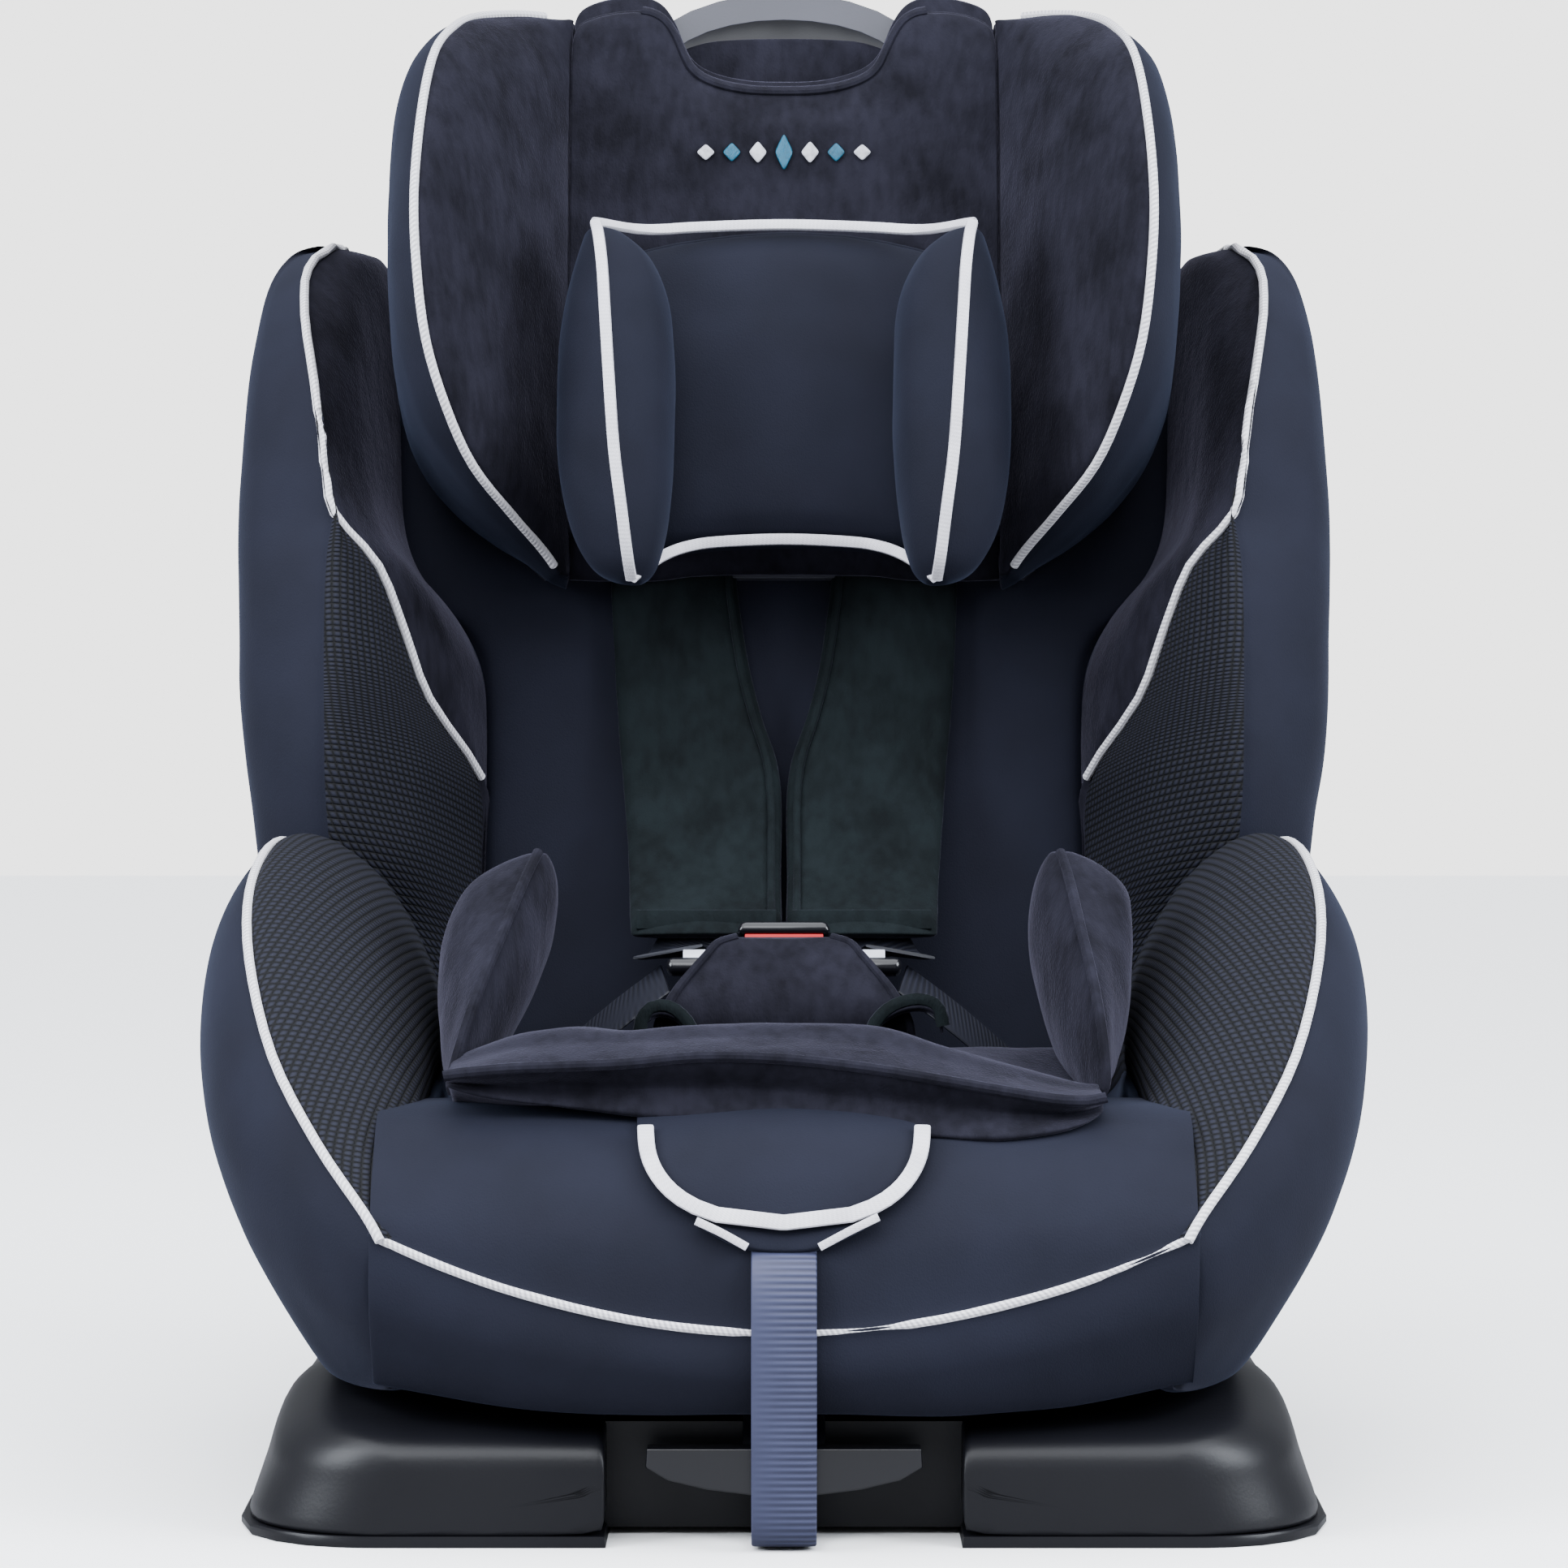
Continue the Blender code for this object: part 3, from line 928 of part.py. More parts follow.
def make_recline_lever(mat, rack_top):
    wide, top = FOOT_INNER - 0.0155, FOOT_HEIGHT - 0.0025
    curve = [(wide - 0.0005, top), (wide, top - 0.0075), (wide - 0.0085, top - 0.0125),
             (wide - 0.0235, top - 0.0160),
             (wide - 0.0415, top - 0.0183)]
    outline = curve + [(-x, z) for x, z in reversed(curve)]
    lever = plate("recline_lever", [(x, BASE_FRONT + 0.005, z) for x, z in outline], (0, 0.012, 0),
                  mat["plastic"])
    front, rear = BASE_FRONT + 0.014, -0.120  # ends of the arm, which climbs over the base to the pull rod
    arm = [(front, top - 0.0060), (front, top - 0.0003), (front + 0.007, base_top(front + 0.007) + 0.0052),
           (front + 0.028, base_top(front + 0.028) + 0.0058), (rear - 0.030, ROD_HEIGHT + 0.003),
           (rear, ROD_HEIGHT + 0.003), (rear, ROD_HEIGHT - 0.0025), (rear - 0.030, ROD_HEIGHT - 0.005),
           (front + 0.033, base_top(front + 0.033) + 0.0009),
           (front + 0.012, base_top(front + 0.012) - 0.0014)]
    arm = [(-0.016, y, z) for y, z in arm]
    boolean(lever, plate("lever_arm", arm, (0.032, 0, 0), mat["plastic"]), "UNION")
    tip = RECLINE_CENTRE.z - rack_top + 0.0018
    latch_half = 0.0035
    block("recline_latch", (-0.009, -latch_half, tip), (0.009, latch_half, ROD_HEIGHT + ROD_RADIUS + 0.0015),
          mat["steel"], 0.001,
          segments=1)
    cylinder("recline_pull_rod", ROD_RADIUS, (0, rear + GAP, ROD_HEIGHT), (0, -latch_half - GAP, ROD_HEIGHT),
             mat["steel"], sides=14)
    coil = bpy.data.curves.new("lever_spring", "CURVE")
    coil.dimensions = "3D"
    line = coil.splines.new("POLY")
    turns, radius, per_turn = 5, ROD_RADIUS + 0.0022, 10
    start = HANGER_Y + SHELL_WALL + RUNNING
    length = -latch_half - LEVER_TRAVEL - 0.0016 - start
    count = turns * per_turn + 1
    line.points.add(count - 1)
    for i in range(count):
        a = 2 * math.pi * i / per_turn
        y = start + length * i / (count - 1)
        line.points[i].co = (radius * math.cos(a), y, ROD_HEIGHT + radius * math.sin(a), 1)
    coil.bevel_depth, coil.bevel_resolution, coil.use_fill_caps = 0.0008, 1, True
    coil.materials.append(mat["steel"])
    bpy.context.scene.collection.objects.link(bpy.data.objects.new("lever_spring", coil))


def hang_on(frame, names):
    """Parents the objects to a frame and leaves them where they are."""
    for name in names:
        obj = bpy.data.objects[name]
        obj.parent = frame
        obj.matrix_parent_inverse = frame.matrix_basis.inverted()


def main():
    clear_scene()
    mat = make_materials()
    seat = tilted_frame("seat_frame", RECLINE_CENTRE, 0.0)
    back = tilted_frame("back_frame", BACK_FOOT, -BACK_ANGLE)
    make_base(mat)
    rack_top = make_rails(mat)
    make_seat_shell(mat)
    cushion = make_seat_cushion(mat)
    slot = WEBBING / 2 + 0.003
    boolean(cushion, block("cushion_crotch_slot", (-slot, -0.016, 0.05), (slot, -0.008, 0.20), mat["jersey"]))
    make_insert(mat)
    make_back_shell(mat, back)
    make_back_cushion(mat, back)
    make_back_bolts(mat, back)
    for side, word in ((-1, "left"), (1, "right")):
        make_bolster(side, word, mat)
        make_torso_wing(side, word, mat, back)
        make_head_wing(side, word, mat, back)
    make_headrest(mat, back)
    make_head_cushion(mat, back)
    make_pillow(mat, back)
    make_belt_guides(mat, back)
    make_harness(mat)
    buckle = make_buckle(mat)
    make_adjuster(mat, cushion)
    make_recline_lever(mat, rack_top)

    on_base = ("base_plate", "base_shell", "base_rail_left", "base_rail_right", "recline_rack")
    loose = [o.name for o in bpy.data.objects if o.type != "EMPTY" and not o.parent and not o.hide_render]
    hang_on(seat, [name for name in loose if name not in on_base and name != "adjuster_flap"])
    hang_on(seat, ["back_frame", "buckle_frame"])
    hinge = tilted_frame("flap_hinge", FLAP_HINGE, 0.0)
    hang_on(hinge, ["adjuster_flap"])
    hang_on(seat, ["flap_hinge"])


main()
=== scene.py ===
# %% [markdown]
# # Dressing a child car seat
#
# The hard parts of the seat come in as a fixed frame: shells, rails, buttons and plain foam blocks.
# This lesson sews covers over the foam, lays the webbing and gives every surface its own material.
# The seat faces -Y, +Z is up, and every length is in metres.

import json
import math

import bmesh
import bpy
from mathutils import Matrix, Vector, noise

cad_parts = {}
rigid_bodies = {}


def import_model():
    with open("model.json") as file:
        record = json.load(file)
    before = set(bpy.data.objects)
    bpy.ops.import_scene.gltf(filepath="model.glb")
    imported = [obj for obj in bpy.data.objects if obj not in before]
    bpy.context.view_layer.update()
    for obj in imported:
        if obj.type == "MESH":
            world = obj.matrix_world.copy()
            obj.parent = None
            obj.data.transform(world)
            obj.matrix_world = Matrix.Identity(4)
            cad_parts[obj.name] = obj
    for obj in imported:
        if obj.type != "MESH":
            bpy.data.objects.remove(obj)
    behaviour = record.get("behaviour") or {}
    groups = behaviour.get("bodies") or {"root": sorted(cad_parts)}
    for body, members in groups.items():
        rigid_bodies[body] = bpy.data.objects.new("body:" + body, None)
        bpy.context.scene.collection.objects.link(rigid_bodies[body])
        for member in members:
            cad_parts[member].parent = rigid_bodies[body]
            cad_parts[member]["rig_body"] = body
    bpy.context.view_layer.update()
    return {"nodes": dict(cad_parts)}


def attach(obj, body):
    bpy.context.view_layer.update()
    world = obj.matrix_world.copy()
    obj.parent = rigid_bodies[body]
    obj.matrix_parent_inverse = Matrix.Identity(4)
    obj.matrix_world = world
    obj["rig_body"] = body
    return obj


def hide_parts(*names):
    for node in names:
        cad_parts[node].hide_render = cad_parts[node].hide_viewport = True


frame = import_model()

# %% [markdown]
# ## The camera, the floor and the light
#
# A long lens a little over two metres away keeps the seat's sides nearly parallel, as a catalogue shot
# does. The camera looks down by just over one degree. The floor is pale, and large area lights make soft
# highlights, because dark cloth only shows its form where light grazes it.

# %% Camera
lens = bpy.data.cameras.new("camera")
lens.lens, lens.sensor_width = 117.4, 36.0
lens.clip_end = 60.0
camera = bpy.data.objects.new("camera", lens)
CAMERA_DROP = 1.346  # degrees below level
camera.location = (0.0, -2.2, 0.34)
camera.rotation_euler = (math.radians(90 - CAMERA_DROP), 0.0, 0.0)
bpy.context.scene.collection.objects.link(camera)
bpy.context.scene.camera = camera
print("camera", round(-camera.location.y, 2), "m in front of the seat")

# %% Light
def area_light(name, place, target, size, power, tint=(1.0, 1.0, 1.0)):
    """A soft square light that faces a target."""
    data = bpy.data.lights.new(name, "AREA")
    data.size, data.energy, data.color = size, power, tint
    lamp = bpy.data.objects.new(name, data)
    lamp.location = place
    lamp.rotation_euler = (Vector(target) - Vector(place)).to_track_quat("-Z", "Y").to_euler()
    bpy.context.scene.collection.objects.link(lamp)


middle = (0.0, 0.0, 0.32)
area_light("left_softbox", (-1.7, -1.0, 1.1), middle, 1.2, 95, (0.88, 0.93, 1.0))
area_light("right_softbox", (1.7, -0.9, 1.1), middle, 1.2, 95, (0.88, 0.93, 1.0))
area_light("front_softbox", (-0.5, -2.4, 1.9), middle, 1.4, 36, (0.92, 0.95, 1.0))
ceiling = bpy.data.lights.new("ceiling", "SUN")
ceiling.energy, ceiling.angle, ceiling.color = 8.5, math.radians(80), (0.92, 0.95, 1.0)
lamp = bpy.data.objects.new("ceiling", ceiling)
lamp.rotation_euler = (math.radians(16), 0.0, 0.0)
bpy.context.scene.collection.objects.link(lamp)
world = bpy.data.worlds.new("studio")
world.use_nodes = True
sky = world.node_tree.nodes["Background"]
sky.inputs["Color"].default_value = (0.9, 0.94, 1.0, 1.0)
sky.inputs["Strength"].default_value = 0.45
seen = world.node_tree.nodes.new("ShaderNodeBackground")
seen.inputs["Color"].default_value = (1.0, 1.0, 1.0, 1.0)
seen.inputs["Strength"].default_value = 3.0
pick = world.node_tree.nodes.new("ShaderNodeMixShader")
path = world.node_tree.nodes.new("ShaderNodeLightPath")
world.node_tree.links.new(path.outputs["Is Camera Ray"], pick.inputs["Fac"])
world.node_tree.links.new(sky.outputs[0], pick.inputs[1])
world.node_tree.links.new(seen.outputs[0], pick.inputs[2])
world.node_tree.links.new(pick.outputs[0], world.node_tree.nodes["World Output"].inputs["Surface"])
bpy.context.scene.world = world

# %% Floor
def plain_material(name, colour, roughness):
    """A new Principled material and its shader."""
    material = bpy.data.materials.new(name)
    material.use_nodes = True
    shader = material.node_tree.nodes["Principled BSDF"]
    shader.inputs["Base Color"].default_value = (*colour, 1.0)
    shader.inputs["Roughness"].default_value = roughness
    return material, shader


bm = bmesh.new()
bmesh.ops.create_grid(bm, x_segments=1, y_segments=1, size=6.0)
floor_mesh = bpy.data.meshes.new("floor")
bm.to_mesh(floor_mesh)
bm.free()
floor = bpy.data.objects.new("floor", floor_mesh)
bpy.context.scene.collection.objects.link(floor)
thrown_back = (0.3, 0.3, 0.31)
pale, shader = plain_material("pale_floor", thrown_back, 0.7)
sight = pale.node_tree.nodes.new("ShaderNodeLightPath")
paint = pale.node_tree.nodes.new("ShaderNodeMix")
paint.data_type = "RGBA"
paint.inputs["A"].default_value = (*thrown_back, 1.0)  # what the floor throws back on to the seat
paint.inputs["B"].default_value = (0.95, 0.95, 0.95, 1.0)  # what the camera sees
pale.node_tree.links.new(sight.outputs["Is Camera Ray"], paint.inputs["Factor"])
pale.node_tree.links.new(paint.outputs["Result"], shader.inputs["Base Color"])
floor_mesh.materials.append(pale)
print("studio ready")

# %% [markdown]
# ## Shader groups
#
# Three effects turn up in more than one finish: a fine grain, a soft cloudiness, and a pattern that follows
# the cloth's own UV map. Two node groups with named sockets make them, so a material only sets their sizes.

# %% Node helpers
def new_group(name, inputs, outputs):
    """An empty shader node group with float inputs {name: default} and named float outputs."""
    group = bpy.data.node_groups.new(name, "ShaderNodeTree")
    for label, value in inputs.items():
        socket = group.interface.new_socket(label, in_out="INPUT", socket_type="NodeSocketFloat")
        socket.default_value = value
    for label in outputs:
        group.interface.new_socket(label, in_out="OUTPUT", socket_type="NodeSocketFloat")
    return group, group.nodes.new("NodeGroupInput"), group.nodes.new("NodeGroupOutput")


def add_node(tree, kind, links=None, **settings):
    """A node with its settings, and links {input: socket or value}."""
    node = tree.nodes.new(kind)
    for label, value in settings.items():
        setattr(node, label, value)
    for label, value in (links or {}).items():
        if isinstance(value, bpy.types.NodeSocket):
            tree.links.new(value, node.inputs[label])
        else:
            node.inputs[label].default_value = value
    return node


def maths(tree, operation, a, b=0.0, c=0.0):
    """The output of a Math node."""
    return add_node(tree, "ShaderNodeMath", {0: a, 1: b, 2: c}, operation=operation).outputs[0]


# %% Grain and clouds
def make_grain():
    """Fine and coarse noise on Object coordinates: Height for bumps and Cloud for slow changes of shade."""
    sizes = {"Fine": 1400.0, "Coarse": 30.0, "Stretch": 1.0}
    group, feed, out = new_group("grain", sizes, ["Height", "Cloud"])
    place = add_node(group, "ShaderNodeTexCoord").outputs["Object"]
    squeeze = add_node(group, "ShaderNodeCombineXYZ", {0: 1.0, 1: 1.0, 2: feed.outputs["Stretch"]})
    scaled = add_node(group, "ShaderNodeVectorMath", {0: place, 1: squeeze.outputs[0]}, operation="MULTIPLY")
    for where, scale, detail, result in (
        (scaled.outputs[0], "Fine", 2.0, "Height"), (place, "Coarse", 3.0, "Cloud")
    ):
        links = {"Vector": where, "Scale": feed.outputs[scale], "Detail": detail}
        texture = add_node(group, "ShaderNodeTexNoise", links)
        group.links.new(texture.outputs["Fac"], out.inputs[result])
    return group


grain = make_grain()

# %% Patterns along the cloth
def make_weave():
    """A checker of raised yarns in the UV map, in metres. Across and Along are the pitch of one yarn."""
    group, feed, out = new_group("weave", {"Across": 0.0012, "Along": 0.0012, "Slant": 0.0}, ["Height"])
    cloth = add_node(group, "ShaderNodeUVMap", uv_map="cloth").outputs["UV"]
    parts = add_node(group, "ShaderNodeSeparateXYZ", {0: cloth})
    slide = maths(group, "MULTIPLY", parts.outputs[0], feed.outputs["Slant"])
    along = maths(group, "ADD", parts.outputs[1], slide)
    waves = []
    for part, pitch in ((parts.outputs[0], feed.outputs["Across"]), (along, feed.outputs["Along"])):
        turns = maths(group, "MULTIPLY", maths(group, "DIVIDE", part, pitch), math.pi)
        waves.append(maths(group, "SINE", turns))
    product = maths(group, "MULTIPLY", waves[0], waves[1])
    group.links.new(maths(group, "MULTIPLY_ADD", product, 0.5, 0.5), out.inputs["Height"])
    return group


weave = make_weave()

# %% [markdown]
# ## Finishes
#
# The plain cover is a close navy jersey, the face panels are black velour, the hot spots are open spacer
# mesh, the piping is off-white satin cord and the straps are ribbed webbing. The hard parts are moulded
# plastics and steel. Each has a bump at its real grain and a slow change of shade, because nothing is one
# flat colour.

# %% Cloth
def use_group(tree, group, values):
    """A group node with its inputs set to numbers."""
    node = tree.nodes.new("ShaderNodeGroup")
    node.node_tree = group
    for label, value in values.items():
        node.inputs[label].default_value = value
    return node


def tone(tree, factor, dark, light, low=0.3, high=0.7):
    """A colour that runs from dark to light as the factor goes from low to high."""
    ramp = add_node(tree, "ShaderNodeValToRGB", {"Fac": factor})
    ramp.color_ramp.elements[0].position, ramp.color_ramp.elements[0].color = low, (*dark, 1.0)
    ramp.color_ramp.elements[1].position, ramp.color_ramp.elements[1].color = high, (*light, 1.0)
    return ramp.outputs["Color"]


def set_inputs(shader, values):
    """The shader's named inputs, set to the values."""
    for label, value in values.items():
        shader.inputs[label].default_value = value


def bump(tree, shader, height, strength, distance, before=None):
    """A Bump node on the shader's normal. Several can follow one another."""
    links = {"Height": height, "Strength": strength, "Distance": distance}
    if before is not None:
        links["Normal"] = before
    made = add_node(tree, "ShaderNodeBump", links)
    tree.links.new(made.outputs["Normal"], shader.inputs["Normal"])
    return made.outputs["Normal"]


def make_jersey(name, dark, light):
    """Close knit: a fine grain, a slow cloud of shade and a faint bluish sheen."""
    material, shader = plain_material(name, dark, 0.82)
    tree = material.node_tree
    knit = use_group(tree, grain, {"Fine": 1500.0, "Coarse": 22.0, "Stretch": 0.7})
    tree.links.new(tone(tree, knit.outputs["Cloud"], dark, light), shader.inputs["Base Color"])
    bump(tree, shader, knit.outputs["Height"], 0.35, 0.0004)
    sheen = {"Sheen Weight": 0.06, "Sheen Roughness": 0.3, "Sheen Tint": (0.45, 0.56, 0.95, 1.0)}
    set_inputs(shader, {**sheen, "Specular IOR Level": 0.12})
    return material


def make_velour(name, dark, light):
    """Short pile: patches of nap that lie one way or another, and a strong sheen at grazing angles."""
    material, shader = plain_material(name, dark, 0.9)
    tree = material.node_tree
    pile = use_group(tree, grain, {"Fine": 1100.0, "Coarse": 34.0, "Stretch": 0.45})
    streaks = use_group(tree, grain, {"Fine": 240.0, "Coarse": 85.0, "Stretch": 0.3})
    patches = maths(tree, "MULTIPLY", pile.outputs["Cloud"], 0.65)
    mixed = maths(tree, "MULTIPLY_ADD", streaks.outputs["Height"], 0.35, patches)
    tree.links.new(tone(tree, mixed, dark, light, 0.36, 0.62), shader.inputs["Base Color"])
    first = bump(tree, shader, pile.outputs["Height"], 0.5, 0.0006)
    bump(tree, shader, streaks.outputs["Cloud"], 0.25, 0.002, first)
    sheen = {"Sheen Weight": 0.14, "Sheen Roughness": 0.28, "Sheen Tint": (0.62, 0.6, 0.85, 1.0)}
    set_inputs(shader, {**sheen, "Specular IOR Level": 0.08})
    return material


def make_mesh_cloth():
    """Spacer mesh: rows of small open cells. The base colour paints a highlight on the raised yarns and shade
    in the dark holes, and the same pattern bumps them.
    """
    material, shader = plain_material("spacer_mesh", (0.01, 0.011, 0.014), 0.75)
    tree = material.node_tree
    cells = use_group(tree, weave, {"Across": 0.0038, "Along": 0.003, "Slant": 0.0})
    yarn = use_group(tree, grain, {"Fine": 1500.0, "Coarse": 40.0, "Stretch": 1.0})
    wave = maths(tree, "MULTIPLY_ADD", cells.outputs["Height"], 2.0, -1.0)
    peaks = maths(tree, "POWER", maths(tree, "ABSOLUTE", wave), 0.6)
    mixed = maths(tree, "MULTIPLY_ADD", yarn.outputs["Height"], 0.2, maths(tree, "MULTIPLY", peaks, 0.8))
    # Painted highlight on the yarn tops and painted shade in the holes, taken from the cell pattern.
    shade = tone(tree, mixed, (0.0008, 0.0009, 0.0017), (0.008, 0.0088, 0.016), 0.42, 0.85)
    tree.links.new(shade, shader.inputs["Base Color"])
    bump(tree, shader, mixed, 0.8, 0.0009)
    shader.inputs["Specular IOR Level"].default_value = 0.15
    return material


def make_cord_cloth():
    """Satin wound round a cord: fine slanted threads."""
    material, shader = plain_material("piping_satin", (0.6, 0.59, 0.6), 0.42)
    tree = material.node_tree
    twist = use_group(tree, weave, {"Across": 0.0065, "Along": 0.0011, "Slant": 0.5})
    shade = tone(tree, twist.outputs["Height"], (0.34, 0.33, 0.36), (0.6, 0.59, 0.61), 0.1, 0.8)
    tree.links.new(shade, shader.inputs["Base Color"])
    bump(tree, shader, twist.outputs["Height"], 0.5, 0.0003)
    shader.inputs["Sheen Weight"].default_value = 0.1
    return material


def make_webbing(name, dark, light):
    """Woven strap: tight ribs across it, under a slow change of shade."""
    material, shader = plain_material(name, dark, 0.55)
    tree = material.node_tree
    ribs = use_group(tree, weave, {"Across": 0.05, "Along": 0.0013, "Slant": 0.0})
    cloud = use_group(tree, grain, {"Fine": 900.0, "Coarse": 60.0, "Stretch": 1.0})
    relief = maths(tree, "MULTIPLY", ribs.outputs["Height"], 0.7)
    shade = maths(tree, "MULTIPLY_ADD", cloud.outputs["Cloud"], 0.3, relief)
    tree.links.new(tone(tree, shade, dark, light, 0.15, 0.85), shader.inputs["Base Color"])
    bump(tree, shader, ribs.outputs["Height"], 0.7, 0.0004)
    shader.inputs["Specular IOR Level"].default_value = 0.3
    return material


jersey = make_jersey("navy_jersey", (0.0044, 0.005, 0.01), (0.0062, 0.007, 0.0138))
velour = make_velour("black_velour", (0.0036, 0.0035, 0.006), (0.01, 0.0098, 0.0158))
pad_velour = make_velour("green_black_velour", (0.002, 0.0031, 0.0037), (0.0046, 0.0072, 0.0083))
mesh_cloth = make_mesh_cloth()
satin = make_cord_cloth()
webbing = make_webbing("strap_webbing", (0.015, 0.0168, 0.038), (0.04, 0.045, 0.09))
# A darker copy of the strap webbing for the shoulder, lap, crotch and yoke straps: painted shade, for the
# same webbing where it lies in shade.
painted_shade_webbing = make_webbing("painted_shade_webbing", (0.003, 0.0033, 0.0062), (0.0085, 0.0095, 0.017))
print("cloths ready")

# %% Hard finishes
ROUGHNESS_DRIFT = 0.07  # how far handling marks take the gloss either way


def make_plastic(name, dark, light, roughness, coat=0.0, fine=700.0, strength=0.12, gloss=0.3):
    """Moulded plastic: a fine spark-eroded grain and faint handling marks in its gloss."""
    material, shader = plain_material(name, dark, roughness)
    tree = material.node_tree
    skin = use_group(tree, grain, {"Fine": fine, "Coarse": 9.0, "Stretch": 1.0})
    tree.links.new(tone(tree, skin.outputs["Cloud"], dark, light), shader.inputs["Base Color"])
    low, high = roughness - ROUGHNESS_DRIFT, roughness + ROUGHNESS_DRIFT
    rough = maths(tree, "MULTIPLY_ADD", skin.outputs["Cloud"], high - low, low)
    tree.links.new(rough, shader.inputs["Roughness"])
    bump(tree, shader, skin.outputs["Height"], strength, 0.0004)
    set_inputs(shader, {"Coat Weight": coat, "Coat Roughness": 0.15, "Specular IOR Level": gloss})
    return material


def make_steel():
    """Zinc-plated steel with fine drawn lines."""
    material, shader = plain_material("zinc_steel", (0.55, 0.56, 0.58), 0.32)
    tree = material.node_tree
    lines = use_group(tree, grain, {"Fine": 800.0, "Coarse": 50.0, "Stretch": 0.05})
    shade = tone(tree, lines.outputs["Cloud"], (0.2, 0.21, 0.24), (0.34, 0.35, 0.39))
    tree.links.new(shade, shader.inputs["Base Color"])
    bump(tree, shader, lines.outputs["Height"], 0.1, 0.0002)
    shader.inputs["Metallic"].default_value = 1.0
    return material


base_plastic = make_plastic(
    "base_plastic", (0.0022, 0.0023, 0.0036), (0.0036, 0.0037, 0.0054), 0.42, 0.0, gloss=0.22
)
shell_plastic = make_plastic("shell_plastic", (0.006, 0.0061, 0.0082), (0.0085, 0.0087, 0.0112), 0.5)
gloss_plastic = make_plastic(
    "gloss_plastic", (0.0035, 0.0036, 0.005), (0.0055, 0.0056, 0.0074), 0.2, 0.15, 500.0, 0.03
)
grey_plastic = make_plastic("grey_plastic", (0.022, 0.023, 0.028), (0.034, 0.035, 0.042), 0.34, 0.1)
handle_plastic = make_plastic("handle_plastic", (0.028, 0.029, 0.038), (0.042, 0.043, 0.056), 0.38, 0.1)
red_plastic = make_plastic(
    "red_plastic", (0.26, 0.003, 0.005), (0.34, 0.0045, 0.007), 0.35, 0.0, 500.0, 0.03, 0.2
)
steel = make_steel()
print("hard finishes ready")

# %% [markdown]
# ## Tools for sewn forms
#
# A sewn pad is a tube of cloth panels. It is easiest to draw as a few *guides*, curves that run the length
# of the pad, with the seams among them. A grid is warped so that its columns follow the guides, its long
# edges are joined, and its ends are closed. Panels meet exactly on a guide, so the piping can be laid on
# the very same line, and the cloth is drawn in a little at each seam, as stitching does.

# %% Curves
def spline_point(points, t):
    """A point at parameter t of a Catmull-Rom curve through the points, which are Vectors."""
    i = min(int(t), len(points) - 2)
    f = t - i
    a, b, c, d = (points[min(max(i + k, 0), len(points) - 1)] for k in (-1, 0, 1, 2))
    return 0.5 * (2 * b + (c - a) * f + (2 * a - 5 * b + 4 * c - d) * f**2 + (3 * b - a - 3 * c + d) * f**3)


def spline(points, steps):
    """The curve through the points with that many steps to each span."""
    points = [Vector(p) for p in points]
    count = (len(points) - 1) * steps
    return [spline_point(points, k / steps) for k in range(count + 1)]


def even_path(points, spacing):
    """A smooth path through the points, cut at equal distances of about spacing."""
    fine = spline(points, 12)
    reach = [0.0]
    for a, b in zip(fine, fine[1:]):
        reach.append(reach[-1] + (b - a).length)
    count = max(2, round(reach[-1] / spacing))
    path, k = [], 0
    for step in range(count + 1):
        goal = reach[-1] * step / count
        while k < len(fine) - 2 and reach[k + 1] < goal:
            k += 1
        share = (goal - reach[k]) / max(reach[k + 1] - reach[k], 1e-9)
        path.append(fine[k].lerp(fine[k + 1], min(max(share, 0.0), 1.0)))
    return path


# %% Warped grids
WELD = 0.00002  # points nearer than this are one


def warped_grid(rows):
    """A bmesh grid laid over rows of points, with a UV map in metres.

    Returns it with each vertex's (row, column) and each face's column."""
    bm = bmesh.new()
    tall, wide = len(rows) - 1, len(rows[0]) - 1
    bmesh.ops.create_grid(bm, x_segments=wide, y_segments=tall, size=1.0)
    index = {}
    for vert in bm.verts:
        index[vert] = (round((vert.co.y + 1) / 2 * tall), round((vert.co.x + 1) / 2 * wide))
    across = [[0.0] for _ in rows]
    for distances, row in zip(across, rows):
        for a, b in zip(row, row[1:]):
            distances.append(distances[-1] + (b - a).length)
    middle = wide // 2
    along = [0.0]
    for a, b in zip(rows, rows[1:]):
        along.append(along[-1] + (b[middle] - a[middle]).length)
    layer = bm.loops.layers.uv.new("cloth")
    for face in bm.faces:
        for loop in face.loops:
            i, j = index[loop.vert]
            loop[layer].uv = (across[i][j], along[i])
    for vert, (i, j) in index.items():
        vert.co = rows[i][j]
    columns = {face: min(index[v][1] for v in face.verts) for face in bm.faces}
    return bm, index, columns


def close_grid(bm):
    """The grid's first and last columns joined, its ends filled and its faces turned outwards."""
    bmesh.ops.remove_doubles(bm, verts=bm.verts, dist=WELD)
    bmesh.ops.holes_fill(bm, edges=[e for e in bm.edges if e.is_boundary], sides=0)
    bmesh.ops.recalc_face_normals(bm, faces=bm.faces)


CREASE = math.radians(34)  # edges sharper than this stay sharp


def finish_piece(name, bm, materials, body, smooth=1, replaced=()):
    """The bmesh as an object that rides on a body, with smooth levels of subdivision."""
    mesh = bpy.data.meshes.new(name)
    bm.to_mesh(mesh)
    bm.free()
    obj = bpy.data.objects.new(name, mesh)
    bpy.context.scene.collection.objects.link(obj)
    for material in materials:
        mesh.materials.append(material)
    mesh.shade_smooth()
    if not smooth:
        mesh.set_sharp_from_angle(angle=CREASE)
    else:
        rounder = obj.modifiers.new("rounder", "SUBSURF")
        rounder.levels = rounder.render_levels = smooth
    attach(obj, body)
    if replaced:
        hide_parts(*replaced)
    return obj


